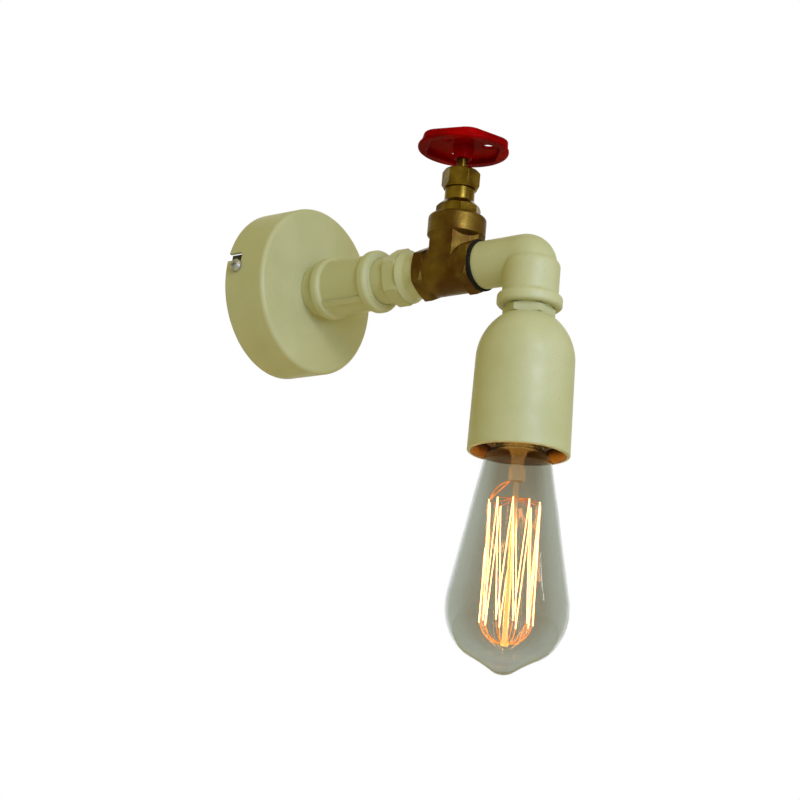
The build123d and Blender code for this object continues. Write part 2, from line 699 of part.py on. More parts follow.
def make_valve_body():
    waist = ARM * rod(VALVE_WAIST_RADIUS, valve_start, valve_end)
    ends = ARM * (
        bar(VALVE_HEX_FLATS, valve_start, valve_start + VALVE_HEX_LENGTH, 30, VALVE_CHAMFER)
        + bar(VALVE_HEX_FLATS, valve_end - VALVE_HEX_LENGTH, valve_end, 30, VALVE_CHAMFER)
    )
    barrel = bar(BARREL_FLATS, 0, BARREL_TOP, 30)
    collar = turned(
        [
            (0, BARREL_TOP - 2, 0),
            (BARREL_FLATS / 2, BARREL_TOP - 2, 0),
            (COLLAR_RADIUS, BARREL_TOP + 0.6, 0.6),
            (COLLAR_RADIUS, COLLAR_TOP, COLLAR_ROUND),
            (0, COLLAR_TOP, 0),
        ]
    )
    body = waist + ends + VALVE * (barrel + collar)
    ports = rod(VALVE_PORT_RADIUS + THREAD_FIT, valve_start - 1, valve_start + VALVE_PORT_DEPTH)
    ports = ports + rod(
        VALVE_PORT_RADIUS + THREAD_FIT, valve_end - VALVE_PORT_DEPTH, valve_end + 1
    )
    ports = ports + rod(PIPE_BORE, valve_start, valve_end)
    chamber = rod(CHAMBER_RADIUS, 0, COLLAR_TOP)
    seat = rod(
        BONNET_THREAD_RADIUS + THREAD_FIT, COLLAR_TOP - BONNET_THREAD_LENGTH - 0.5, COLLAR_TOP + 1
    )
    return body - ARM * ports - VALVE * (chamber + seat)


def make_valve_bonnet():
    low = COLLAR_TOP - BONNET_THREAD_LENGTH
    recess_top = low + STEM_COLLAR_HEIGHT + RUNNING_FIT
    corner = BONNET_FLANGE_FLATS / 2 / cos(radians(180 / 8))
    flange = bar(BONNET_FLANGE_FLATS, COLLAR_TOP, bonnet_cone_top, 0, sides=8)
    flange = flange & turned(
        [
            (0, COLLAR_TOP, 0),
            (corner, COLLAR_TOP, 0),
            (corner, flange_top, 0),
            (BONNET_NECK_RADIUS, bonnet_cone_top, 0),
            (0, bonnet_cone_top, 0),
        ]
    )
    neck = turned(
        [
            (0, bonnet_cone_top, 0),
            (BONNET_NECK_RADIUS, bonnet_cone_top, 0),
            (BONNET_NECK_RADIUS, neck_top, 0.4),
            (GLAND_THREAD_RADIUS, neck_top, 0),
            (GLAND_THREAD_RADIUS, packing_low, 0),
            (0, packing_low, 0),
        ]
    )
    recess = rod(STEM_COLLAR_RADIUS + MOVING_GAP, low - 1, recess_top)
    bonnet = rod(BONNET_THREAD_RADIUS, low, COLLAR_TOP) + flange + neck
    return VALVE * (bonnet - recess - rod(stem_bore, low, packing_low + 1))


def make_gland_packing():
    return VALVE * ring(GLAND_THREAD_RADIUS - TINY_GAP, stem_bore, packing_low, packing_high)


def make_gland_nut():
    body = bar(GLAND_FLATS, neck_top, gland_top, 0, GLAND_CHAMFER)
    body = body - rod(GLAND_THREAD_RADIUS + THREAD_FIT, neck_top - 1, packing_high)
    return VALVE * (body - rod(STEM_RADIUS + MOVING_GAP, neck_top, gland_top + 1))


def make_valve_stem():
    low = COLLAR_TOP - BONNET_THREAD_LENGTH
    stem = rod(STEM_RADIUS, low, hub_low)
    collar = rod(STEM_COLLAR_RADIUS, low, low + STEM_COLLAR_HEIGHT)
    square = Box(STEM_SQUARE, STEM_SQUARE, rim_high - hub_low)
    square = square.translate((0, 0, (rim_high + hub_low) / 2))
    square = square & rod(STEM_RADIUS, hub_low, rim_high)
    tip = rod(STEM_TIP_RADIUS, rim_high, wheel_nut_high + STEM_TIP_PROUD)
    return VALVE * (stem + collar + square + tip)


# Handwheel


def wheel_plate(inset, low, high):
    """Rounded hexagonal plate of the wheel's outline, drawn in by an inset."""
    flat_reach = WHEEL_FLAT_REACH - inset
    corner_gap = 1 / cos(radians(180 / WHEEL_LOBES)) - 1
    sharp = flat_reach * (1 + corner_gap)
    lobe_round = (sharp - (WHEEL_CORNER_REACH - inset)) / corner_gap
    outline = RegularPolygon(flat_reach, WHEEL_LOBES, major_radius=False)
    outline = fillet(outline.vertices(), lobe_round)
    return extrude(outline, high - low).rotate(Axis.Z, WHEEL_TURN).translate((0, 0, low))


def make_handwheel():
    lip_high = rim_low + WHEEL_LIP_HEIGHT
    plate = wheel_plate(0, lip_high - WHEEL_LIP_ROUND, rim_high)
    plate = fillet(plate.edges().group_by(Axis.Z)[-1], WHEEL_ROUND)
    lip = turned(
        [
            (0, rim_low, 0),
            (WHEEL_LIP_RADIUS, rim_low, WHEEL_LIP_ROUND),
            (WHEEL_LIP_RADIUS, lip_high, WHEEL_LIP_ROUND),
            (0, lip_high, 0),
        ]
    )
    wheel = plate + lip
    wheel = wheel - wheel_plate(WHEEL_RIM_WIDTH, rim_low - 1, web_low)
    wheel = wheel - wheel_plate(WHEEL_RIM_WIDTH, web_high, rim_high + 1)
    hub = turned(
        [
            (0, hub_low, 0),
            (HUB_RADIUS - 1, hub_low, 0.5),
            (HUB_RADIUS, web_low, 0),
            (HUB_RADIUS, rim_high, 0.5),
            (0, rim_high, 0),
        ]
    )
    wheel = wheel + hub
    for hole in range(WHEEL_HOLES):
        angle = radians(WHEEL_HOLE_TURN + 360 / WHEEL_HOLES * hole)
        drill = rod(WHEEL_HOLE_RADIUS, rim_low, rim_high)
        wheel = wheel - drill.translate(
            (WHEEL_HOLE_CIRCLE * cos(angle), WHEEL_HOLE_CIRCLE * sin(angle), 0)
        )
    eye = STEM_SQUARE + 2 * THREAD_FIT
    square = Box(eye, eye, 4 * WHEEL_RIM_HEIGHT).translate((0, 0, rim_low))
    square = square & rod(STEM_RADIUS + THREAD_FIT, hub_low - 1, rim_high + 1)
    return VALVE * (wheel - square)


def make_handwheel_washer():
    return VALVE * ring(WHEEL_WASHER_RADIUS, STEM_TIP_RADIUS + THREAD_FIT, rim_high, wheel_washer_high)


def make_handwheel_nut():
    return VALVE * nut(
        WHEEL_NUT_FLATS, STEM_TIP_RADIUS + THREAD_FIT, wheel_washer_high, wheel_nut_high, 0, 0.5
    )


# Elbow


def make_valve_seal():
    return ARM * ring(SEAL_RADIUS, VALVE_PORT_RADIUS + THREAD_FIT, valve_end, elbow_start, 0.5)


def tight_corner(radius):
    """Corner from the arm down into the falling leg: half a disc turned about the inner edge."""
    start = drop_axis - ELBOW_BEND_RADIUS
    disc = Circle(radius) & Pos(0, 2 * radius - ELBOW_BEND_RADIUS) * Rectangle(4 * radius, 4 * radius)
    section = Plane(origin=(0, -start, 0), x_dir=(1, 0, 0), z_dir=(0, -1, 0)) * disc
    pivot = Axis((0, -start, -ELBOW_BEND_RADIUS), (1, 0, 0))
    return revolve(section, axis=pivot, revolution_arc=90)


def make_elbow():
    bend_start = drop_axis - ELBOW_BEND_RADIUS
    male_start = elbow_start - SEAL_HEIGHT - VALVE_PORT_DEPTH + PORT_SPARE
    arm_leg = turned(
        [
            (0, male_start, 0),
            (VALVE_PORT_RADIUS, male_start, 0.5),
            (VALVE_PORT_RADIUS, elbow_start, 0),
            (ELBOW_MALE_RADIUS, elbow_start, 0.5),
            (ELBOW_BODY_RADIUS, bend_start, 0),
            (0, bend_start, 0),
        ]
    )
    leg = turned(
        [
            (0, ELBOW_END, 0),
            (ELBOW_BEAD_RADIUS - 1, ELBOW_END, 0.8),
            (ELBOW_BEAD_RADIUS, ELBOW_END + 1, ELBOW_BEAD_ROUND * 0.3),
            (ELBOW_BEAD_RADIUS, ELBOW_END + ELBOW_BEAD_WIDTH - 1, ELBOW_BEAD_ROUND * 0.6),
            (ELBOW_LEG_RADIUS, ELBOW_END + ELBOW_BEAD_WIDTH, 1.2),
            (ELBOW_LEG_RADIUS, ELBOW_LEG_TOP, ELBOW_LEG_ROUND),
            (0, ELBOW_LEG_TOP, 0),
        ]
    )
    body = ARM * arm_leg + tight_corner(ELBOW_BODY_RADIUS) + DROP * leg
    bore = ARM * rod(PIPE_BORE, valve_axis, bend_start) + tight_corner(PIPE_BORE)
    bore = bore + DROP * rod(PIPE_BORE, ELBOW_END - 1, -ELBOW_BEND_RADIUS)
    socket = DROP * rod(thread_bore, ELBOW_END - 1, ELBOW_END + ELBOW_SOCKET_DEPTH)
    return body - bore - socket


# Reducer and cup


def make_cup_reducer():
    upper = rod(PIPE_THREAD_RADIUS, ELBOW_END, ELBOW_END + REDUCER_GRIP)
    grip = bar(REDUCER_FLATS, cup_top, ELBOW_END, 0, REDUCER_CHAMFER)
    lower = rod(CUP_THREAD_RADIUS, reducer_low, cup_top)
    bore = turned(
        [
            (0, reducer_low - 1, 0),
            (TUBE_RADIUS + THREAD_FIT, reducer_low - 1, 0),
            (TUBE_RADIUS + THREAD_FIT, tube_top + 1, 0),
            (REDUCER_BORE, tube_top + 2.5, 0),
            (REDUCER_BORE, ELBOW_END + REDUCER_GRIP + 1, 0),
            (0, ELBOW_END + REDUCER_GRIP + 1, 0),
        ]
    )
    return DROP * (upper + grip + lower - bore)


def make_cup():
    dome_centre = CUP_SHOULDER_RADIUS - CUP_DOME_RADIUS
    flat_radius = dome_centre + sqrt(CUP_DOME_RADIUS**2 - CUP_DOME_DROP**2)
    hole = CUP_THREAD_RADIUS + THREAD_FIT
    inner_dome = CUP_DOME_RADIUS - CUP_WALL
    ceiling_reach = dome_centre + sqrt(inner_dome**2 - (cup_ceiling - cup_shoulder) ** 2)
    middle = radians(35)
    with BuildSketch(Plane.XZ) as section:
        with BuildLine():
            Line((hole, cup_ceiling), (hole, cup_top))
            Line((hole, cup_top), (flat_radius, cup_top))
            ThreePointArc(
                (flat_radius, cup_top),
                (
                    dome_centre + CUP_DOME_RADIUS * cos(middle),
                    cup_shoulder + CUP_DOME_RADIUS * sin(middle),
                ),
                (CUP_SHOULDER_RADIUS, cup_shoulder),
            )
            Line((CUP_SHOULDER_RADIUS, cup_shoulder), (CUP_MOUTH_RADIUS, cup_mouth))
            Line((CUP_MOUTH_RADIUS, cup_mouth), (CUP_MOUTH_RADIUS - CUP_WALL, cup_mouth))
            Line((CUP_MOUTH_RADIUS - CUP_WALL, cup_mouth), (CUP_SHOULDER_RADIUS - CUP_WALL, cup_shoulder))
            ThreePointArc(
                (CUP_SHOULDER_RADIUS - CUP_WALL, cup_shoulder),
                (
                    dome_centre + inner_dome * cos(middle / 2),
                    cup_shoulder + inner_dome * sin(middle / 2),
                ),
                (ceiling_reach, cup_ceiling),
            )
            Line((ceiling_reach, cup_ceiling), (hole, cup_ceiling))
        make_face()
        rim = section.vertices().group_by(Axis.Z)[0]
        fillet(rim, CUP_WALL * 0.3)
    return DROP * revolve(section.sketch, axis=Axis.Z)


def make_cup_washer():
    return DROP * ring(CUP_WASHER_RADIUS, CUP_THREAD_RADIUS + THREAD_FIT, cup_washer_low, cup_ceiling)


def make_cup_locknut():
    return DROP * nut(CUP_NUT_FLATS, CUP_THREAD_RADIUS + THREAD_FIT, cup_nut_low, cup_washer_low)


# Lampholder


def make_holder_tube():
    return DROP * ring(TUBE_RADIUS, TUBE_BORE, tube_low, tube_top, 0.4)


def make_holder_locknut():
    return DROP * nut(
        TUBE_NUT_FLATS, TUBE_RADIUS + THREAD_FIT, holder_top, holder_top + TUBE_NUT_HEIGHT
    )


def make_holder_cap():
    wall = HOLDER_CAP_WALL
    cap = turned(
        [
            (TUBE_RADIUS + THREAD_FIT, holder_top, 0),
            (HOLDER_CAP_TOP_RADIUS, holder_top, 1.5),
            (HOLDER_CAP_TOP_RADIUS + 1.5, holder_top - 4, 2),
            (HOLDER_RADIUS, holder_top - 7.5, 3),
            (HOLDER_RADIUS, holder_split, 0),
            (HOLDER_RADIUS - wall, holder_split, 0),
            (HOLDER_RADIUS - wall, holder_top - 8.5, 2),
            (TUBE_RADIUS + 2.5, tube_low - 0.5, 0),
            (TUBE_RADIUS + THREAD_FIT, tube_low - 0.5, 0),
        ]
    )
    return DROP * cap


def make_holder_body():
    bore = shell_outer + TINY_GAP
    rows = []
    for step in range(3):
        high = holder_split - 6 - 3.0 * step
        rows += [(HOLDER_RADIUS, high, 0.3), (HOLDER_RADIUS - 0.7, high - 0.6, 0.2)]
        rows += [(HOLDER_RADIUS - 0.7, high - 1.4, 0.2), (HOLDER_RADIUS, high - 2.0, 0.3)]
    body = turned(
        [(bore, holder_split, 0), (HOLDER_RADIUS, holder_split, 0)]
        + rows
        + [(HOLDER_RADIUS, holder_mouth, 1.2), (bore, holder_mouth, 0.6)]
    )
    return DROP * body


def make_holder_insert():
    """Ceramic insert that carries the contacts and the wire screws."""
    insert = rod(shell_outer, insert_low, insert_high)
    slot = Box(CONTACT_THICKNESS + 2 * TINY_GAP, CONTACT_WIDTH + 2 * TINY_GAP, 4 * INSERT_HEIGHT)
    insert = insert - slot.translate((SIDE_CONTACT_PLACE, 0, insert_low))
    for side in (-1, 1):
        screw_hole = rod(HOLDER_SCREW_RADIUS + TINY_GAP, insert_low - 1, insert_high + 1)
        insert = insert - screw_hole.translate((side * HOLDER_SCREW_PLACE, 0, 0))
    return DROP * insert


def make_holder_shell():
    """Screw shell: a thin cup whose flange is held against the insert."""
    inner = shell_outer - HOLDER_SHELL_WALL
    flange = insert_low - HOLDER_SHELL_WALL
    shell = turned(
        [
            (SIDE_CONTACT_PLACE - 1, insert_low, 0),
            (shell_outer, insert_low, 0),
            (shell_outer, holder_mouth + 1.5, 0),
            (inner, holder_mouth + 1.5, 0),
            (inner, flange, 0),
            (SIDE_CONTACT_PLACE - 1, flange, 0),
        ]
    )
    return DROP * shell


def make_holder_contact():
    """Centre contact: a leaf under the insert, bent down to meet the lamp."""
    thick = CONTACT_THICKNESS
    leaf_low = contact_spring_low
    fixed = Box(5.0, CONTACT_WIDTH, thick)
    fixed = fixed.translate((-HOLDER_SCREW_PLACE + 1.0, 0, insert_low - thick / 2))
    fixed = fixed - rod(HOLDER_SCREW_RADIUS + TINY_GAP, insert_low - 1, insert_low + 1).translate(
        (-HOLDER_SCREW_PLACE, 0, 0)
    )
    bend_x = -HOLDER_SCREW_PLACE + 3.5
    slope = Polyline(
        (bend_x - 1.0, 0, insert_low),
        (bend_x, 0, insert_low),
        (bend_x + 2.5, 0, leaf_low + thick),
        (CONTACT_LENGTH / 2 - 4, 0, leaf_low + thick),
        (CONTACT_LENGTH / 2 - 4, 0, leaf_low),
        (bend_x + 2.2, 0, leaf_low),
        (bend_x - 0.3, 0, insert_low - thick),
        (bend_x - 1.0, 0, insert_low - thick),
        close=True,
    )
    tongue = extrude(make_face(slope), CONTACT_WIDTH / 2, dir=(0, 1, 0), both=True)
    return DROP * (fixed + tongue)


def make_holder_side_contact():
    height = INSERT_HEIGHT + CONTACT_THICKNESS
    tab = Box(CONTACT_THICKNESS, CONTACT_WIDTH, height)
    tab = tab.translate((SIDE_CONTACT_PLACE, 0, insert_low + height / 2))
    low, high = HOLDER_SCREW_PLACE - 2.4, SIDE_CONTACT_PLACE + CONTACT_THICKNESS / 2
    foot = Box(high - low, CONTACT_WIDTH, CONTACT_THICKNESS)
    foot = foot.translate(((low + high) / 2, 0, insert_high + CONTACT_THICKNESS / 2))
    foot = foot - rod(HOLDER_SCREW_RADIUS + TINY_GAP, insert_high - 1, insert_high + 1).translate(
        (HOLDER_SCREW_PLACE, 0, 0)
    )
    return DROP * (tab + foot)


def make_holder_screws():
    screw = domed_screw(
        HOLDER_SCREW_HEAD_RADIUS, HOLDER_SCREW_HEAD_HEIGHT, HOLDER_SCREW_RADIUS, INSERT_HEIGHT
    )
    live = screw.translate((-HOLDER_SCREW_PLACE, 0, insert_high))
    neutral = screw.translate((HOLDER_SCREW_PLACE, 0, insert_high + CONTACT_THICKNESS))
    return [DROP * live, DROP * neutral]


# Lamp


def make_lamp_contact():
    dome = turned(
        [
            (0, insulator_top, 0),
            (LAMP_CONTACT_RADIUS, insulator_top, 0),
            (LAMP_CONTACT_RADIUS - 0.6, lamp_top - 0.5, 0.3),
            (LAMP_CONTACT_RADIUS - 2.2, lamp_top, 0.5),
            (0, lamp_top, 0),
        ]
    )
    return DROP * dome


def make_lamp_cap_insulator():
    cone = turned(
        [
            (0, lamp_cap_top - 1.5, 0),
            (LAMP_CAP_RADIUS - LAMP_CAP_SLOPE - LAMP_CAP_WALL, lamp_cap_top - 1.5, 0),
            (LAMP_CAP_RADIUS - LAMP_CAP_SLOPE - LAMP_CAP_WALL, lamp_cap_top, 0),
            (LAMP_INSULATOR_RADIUS, insulator_top, 0.4),
            (0, insulator_top, 0),
        ]
    )
    return DROP * cone


def make_lamp_cap():
    slope = LAMP_CAP_SLOPE
    shell = turned(
        [
            (LAMP_CAP_RADIUS - slope - LAMP_CAP_WALL, lamp_cap_top, 0),
            (LAMP_CAP_RADIUS - slope, lamp_cap_top, 0.3),
            (LAMP_CAP_RADIUS, lamp_cap_top - slope, 0.4),
            (LAMP_CAP_RADIUS, lamp_rim, 0),
            (LAMP_CAP_RADIUS - LAMP_CAP_WALL, lamp_rim, 0),
            (LAMP_CAP_RADIUS - LAMP_CAP_WALL, lamp_cap_top - slope, 0.3),
            (LAMP_CAP_RADIUS - slope - LAMP_CAP_WALL, lamp_cap_top - 1.5, 0),
        ]
    )
    return DROP * shell


def make_lamp_glass():
    """Blown shell: the outline runs from the neck in the cap down to the tip on the axis."""
    corners = [
        (GLASS_NECK_RADIUS, lamp_rim + GLASS_NECK_GRIP, 0),
        (GLASS_NECK_RADIUS, lamp_rim - 1.0, 1.5),
        (BULB_NECK_RADIUS, lamp_rim - BULB_NECK_DROP, BULB_NECK_ROUND),
        (BULB_RADIUS, bulb_tip + BULB_BELLY_HEIGHT, BULB_BELLY_ROUND),
        (BULB_RADIUS, bulb_tip + BULB_HIP_HEIGHT, BULB_HIP_ROUND),
        (BULB_BASE_RADIUS, bulb_tip + BULB_BASE_HEIGHT, BULB_BASE_ROUND),
        (TIP_RADIUS, bulb_tip + TIP_HEIGHT, TIP_ROUND),
        (TIP_FLAT_RADIUS, bulb_tip, TIP_FLAT_ROUND),
        (0, bulb_tip, 0),
    ]
    points = [(radius, 0, height) for radius, height, _ in corners]
    roundings = [rounding for _, _, rounding in corners[1:-1]]
    outline = FilletPolyline(*points, radius=roundings)
    section = make_face(offset(outline, GLASS_WALL, side=Side.LEFT, closed=True))
    return DROP * revolve(section, axis=Axis.Z)


def make_lamp_stem():
    """Glass foot: a flared tube, pressed flat at its lower end, and the rod with two buttons."""
    flare_top = lamp_rim + GLASS_NECK_GRIP - 1
    flare = turned(
        [
            (0, flare_top, 0),
            (GLASS_NECK_RADIUS - GLASS_WALL - TINY_GAP, flare_top, 0),
            (GLASS_NECK_RADIUS - GLASS_WALL - TINY_GAP, flare_top - 1, 0.2),
            (STEM_FLARE_RADIUS * 0.6, flare_top - 5, 3),
            (STEM_TUBE_RADIUS, flare_top - 10, 2),
            (STEM_TUBE_RADIUS, stem_press, 1.5),
            (0, stem_press, 0),
        ]
    )
    foot = Box(2 * STEM_TUBE_RADIUS + 2.2, 2.6, 8).translate((0, 0, stem_press + 4))
    foot = fillet(foot.edges(), 1.0)
    support = rod(ROD_RADIUS, rod_end, stem_press + 1)
    buttons = turned(
        [
            (0, cage_top + 3.5, 0),
            (ROD_BUTTON_RADIUS, cage_top + 3.5, 0.8),
            (ROD_BUTTON_RADIUS, cage_top + 0.5, 0.8),
            (0, cage_top + 0.5, 0),
        ]
    )
    end_button = turned(
        [
            (0, rod_end + 3, 0),
            (ROD_BUTTON_RADIUS, rod_end + 3, 0.8),
            (ROD_BUTTON_RADIUS, rod_end, 0.8),
            (0, rod_end, 0),
        ]
    )
    return CAGE * (flare + foot + support + buttons + end_button)


def cage_point(radius, height, steps):
    """Point on the cage: steps of one hook to the next around the rod."""
    angle = radians(cage_step * steps)
    return (radius * cos(angle), radius * sin(angle), height)


def thin_rod(start, end, radius):
    direction = Vector(*end) - Vector(*start)
    plane = Plane(origin=start, z_dir=direction)
    return plane * Cylinder(radius, direction.length, align=(Align.CENTER, Align.CENTER, Align.MIN))


def make_lamp_filament():
    """One wire that runs up and down between the lower and the upper hooks."""
    stops = []
    for hook in range(CAGE_HOOKS):
        stops.append(cage_point(CAGE_RADIUS, cage_top, hook))
        stops.append(cage_point(CAGE_RADIUS, cage_bottom, hook + 0.5))
    stops.append(cage_point(CAGE_RADIUS, cage_top, CAGE_HOOKS - 0.2))
    runs = [thin_rod(a, b, FILAMENT_RADIUS) for a, b in zip(stops, stops[1:])]
    knees = [Sphere(FILAMENT_RADIUS * 1.02).translate(stop) for stop in stops]
    return CAGE * runs[0].fuse(*runs[1:], *knees)


def make_lamp_hooks():
    """Support wires: straight ones at the top, curved ones at the bottom."""
    seat = ROD_BUTTON_RADIUS + TINY_GAP
    gap = FILAMENT_RADIUS + HOOK_RADIUS + TINY_GAP
    hooks = []
    for hook in range(1, CAGE_HOOKS):
        start = cage_point(seat, cage_top + 2, hook)
        end = cage_point(CAGE_RADIUS - gap, cage_top, hook)
        hooks.append(CAGE * thin_rod(start, end, HOOK_RADIUS))
    for hook in range(CAGE_HOOKS):
        place = hook + 0.5
        path = Spline(
            cage_point(seat, rod_end + 1.5, place),
            cage_point(seat + 4.6, rod_end + 2.4, place),
            cage_point(CAGE_RADIUS - gap, cage_bottom - 0.6, place),
        )
        section = Plane(origin=path @ 0, z_dir=path % 0) * Circle(HOOK_RADIUS)
        hooks.append(CAGE * sweep(section, path=path))
    return hooks


def make_lamp_leads():
    """Two lead wires from the pressed foot: one arcs outwards, one runs straight to its end."""
    reach = CAGE_RADIUS - LEAD_RADIUS - FILAMENT_RADIUS - TINY_GAP
    start_x = STEM_TUBE_RADIUS + 0.2
    leads = []
    for steps, side, bulge in ((0, 1, LEAD_BULGE), (CAGE_HOOKS - 0.2, -1, 0.0)):
        end = cage_point(reach, cage_top + 0.3, steps)
        middle = ((start_x + end[0]) / 2, side * 1.0, (stem_press + end[2]) / 2 + bulge)
        path = Spline((start_x, side * 0.6, stem_press - LEAD_RADIUS), middle, end)
        section = Plane(origin=path @ 0, z_dir=path % 0) * Circle(LEAD_RADIUS)
        leads.append(CAGE * sweep(section, path=path))
    return leads


PARTS = {
    "wall_bracket": make_wall_bracket,
    "lock_screws": make_lock_screws,
    "bracket_earth_screw": make_bracket_earth_screw,
    "canopy": make_canopy,
    "canopy_nipple": make_canopy_nipple,
    "canopy_washer": make_canopy_washer,
    "canopy_locknut": make_canopy_locknut,
    "terminal_block": make_terminal_block,
    "terminal_clamps": make_terminal_clamps,
    "terminal_screws": make_terminal_screws,
    "block_screw": make_block_screw,
    "canopy_earth_screw": make_canopy_earth_screw,
    "wire_live": make_wire_live,
    "wire_neutral": make_wire_neutral,
    "wire_earth": make_wire_earth,
    "coupling": make_coupling,
    "hex_nipple": make_hex_nipple,
    "valve_body": make_valve_body,
    "valve_bonnet": make_valve_bonnet,
    "gland_packing": make_gland_packing,
    "gland_nut": make_gland_nut,
    "valve_stem": make_valve_stem,
    "handwheel": make_handwheel,
    "handwheel_washer": make_handwheel_washer,
    "handwheel_nut": make_handwheel_nut,
    "valve_seal": make_valve_seal,
    "elbow": make_elbow,
    "cup_reducer": make_cup_reducer,
    "cup": make_cup,
    "cup_washer": make_cup_washer,
    "cup_locknut": make_cup_locknut,
    "holder_tube": make_holder_tube,
    "holder_locknut": make_holder_locknut,
    "holder_cap": make_holder_cap,
    "holder_body": make_holder_body,
    "holder_insert": make_holder_insert,
    "holder_shell": make_holder_shell,
    "holder_contact": make_holder_contact,
    "holder_side_contact": make_holder_side_contact,
    "holder_screws": make_holder_screws,
    "lamp_contact": make_lamp_contact,
    "lamp_cap_insulator": make_lamp_cap_insulator,
    "lamp_cap": make_lamp_cap,
    "lamp_glass": make_lamp_glass,
    "lamp_stem": make_lamp_stem,
    "lamp_filament": make_lamp_filament,
    "lamp_hooks": make_lamp_hooks,
    "lamp_leads": make_lamp_leads,
}

for name, make in PARTS.items():
    piece = make()
    if isinstance(piece, list):
        piece = Compound(children=piece)
    export_step(piece, f"parts/{name}.step")
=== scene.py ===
# %% [markdown]
# # A wall light made of pipe fittings
# The real object is a round wall canopy, a banded pipe coupling, a brass gate valve with a red
# handwheel, an elbow, and a cup that holds a pear-shaped filament lamp. Its solids come from CAD
# and are already in place. Blender gives them their finishes and adds what CAD left plain: the
# coiled filament and the rolled screw thread of the lamp's cap.

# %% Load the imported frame
import bpy
import numpy as np
from mathutils import Matrix, Vector


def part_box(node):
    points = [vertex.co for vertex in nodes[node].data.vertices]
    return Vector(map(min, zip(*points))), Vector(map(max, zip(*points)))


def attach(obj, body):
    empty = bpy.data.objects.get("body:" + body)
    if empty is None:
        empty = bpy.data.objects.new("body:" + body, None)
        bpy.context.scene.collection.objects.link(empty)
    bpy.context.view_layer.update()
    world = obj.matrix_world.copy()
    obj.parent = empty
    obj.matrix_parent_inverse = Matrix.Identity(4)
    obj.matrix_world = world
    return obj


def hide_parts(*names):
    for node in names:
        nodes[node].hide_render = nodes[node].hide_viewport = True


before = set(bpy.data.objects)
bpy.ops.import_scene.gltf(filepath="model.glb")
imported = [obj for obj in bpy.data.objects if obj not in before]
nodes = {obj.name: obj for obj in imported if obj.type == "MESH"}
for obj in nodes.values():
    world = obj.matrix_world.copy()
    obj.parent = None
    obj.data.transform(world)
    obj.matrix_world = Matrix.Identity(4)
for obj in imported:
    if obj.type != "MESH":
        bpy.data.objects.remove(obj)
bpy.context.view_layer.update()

# %% [markdown]
# ## The camera
# The photograph was taken from below and from the left, with a long lens held slightly turned.
# The camera could be aimed with a Track To constraint, but a lens that is also rolled is easier
# to build from three directions: to the right, up and backwards. The roll then turns the first
# two about the third.

# %% Place the camera
AZIMUTH, ELEVATION, ROLL = np.radians([-50.645, -14.504, 5.06])
CAMERA_PLACE = np.array([-0.902487, -0.835986, -0.372995])
LENS_MM = 99.0
SENSOR_MM = 36.0
NEAREST = 0.01

right = np.array([np.cos(AZIMUTH), np.sin(AZIMUTH), 0.0])
back = np.array([
    np.sin(AZIMUTH) * np.cos(ELEVATION),
    -np.cos(AZIMUTH) * np.cos(ELEVATION),
    np.sin(ELEVATION),
])
up = np.cross(back, right)
axis_x = np.cos(ROLL) * right + np.sin(ROLL) * up
axis_y = -np.sin(ROLL) * right + np.cos(ROLL) * up

camera_data = bpy.data.cameras.new("camera")
camera_data.lens = LENS_MM
camera_data.sensor_width = SENSOR_MM
camera_data.clip_start = NEAREST
camera = bpy.data.objects.new("camera", camera_data)
bpy.context.scene.collection.objects.link(camera)
turn = np.eye(4)
turn[:3, 0], turn[:3, 1], turn[:3, 2], turn[:3, 3] = axis_x, axis_y, back, CAMERA_PLACE
camera.matrix_world = Matrix(turn.tolist())
bpy.context.scene.camera = camera
print("camera at", np.round(CAMERA_PLACE, 3), "lens", LENS_MM, "mm")

# %% [markdown]
# ## Background and light
# The photograph has a plain white background. It could come from a bright lamp behind the
# object, but that would wash out the colours. Here the world is white only for the camera and for
# what is seen through glass. Everything it lights gets a dim warm tone, as in a room. Reflections
# see the same dim room in front, and white only straight behind, so the brass stays dark and the
# edge of the bulb turns pale.

# %% The world
BACKDROP_EDGE = (0.70, 0.90)  # cosines from the view direction, between which the white fades in
WHITE = (1.0, 1.0, 1.0, 1.0)
ROOM_TONE = (1.0, 0.90, 0.46, 1.0)
ROOM_STRENGTH = 0.49


def combine(tree, operation, first, second):
    """Number that a Math node works out from two others, such as their MAXIMUM."""
    node = tree.nodes.new("ShaderNodeMath")
    node.operation = operation
    tree.links.new(first, node.inputs[0])
    tree.links.new(second, node.inputs[1])
    return node.outputs[0]


world = bpy.data.worlds.new("studio")
bpy.context.scene.world = world
world.use_nodes = True
tree = world.node_tree
tree.nodes.clear()
path = tree.nodes.new("ShaderNodeLightPath")
direction = tree.nodes.new("ShaderNodeTexCoord")
behind = tree.nodes.new("ShaderNodeVectorMath")
behind.operation = "DOT_PRODUCT"
behind.inputs[1].default_value = tuple(-back)
tree.links.new(direction.outputs["Generated"], behind.inputs[0])
backdrop = tree.nodes.new("ShaderNodeMapRange")
backdrop.inputs["From Min"].default_value = BACKDROP_EDGE[0]
backdrop.inputs["From Max"].default_value = BACKDROP_EDGE[1]
tree.links.new(behind.outputs["Value"], backdrop.inputs["Value"])

mirrored = combine(tree, "MULTIPLY", backdrop.outputs["Result"], path.outputs["Is Glossy Ray"])
opaque_view = combine(tree, "MAXIMUM", path.outputs["Is Camera Ray"], mirrored)
shown_white = combine(tree, "MAXIMUM", opaque_view, path.outputs["Is Transmission Ray"])

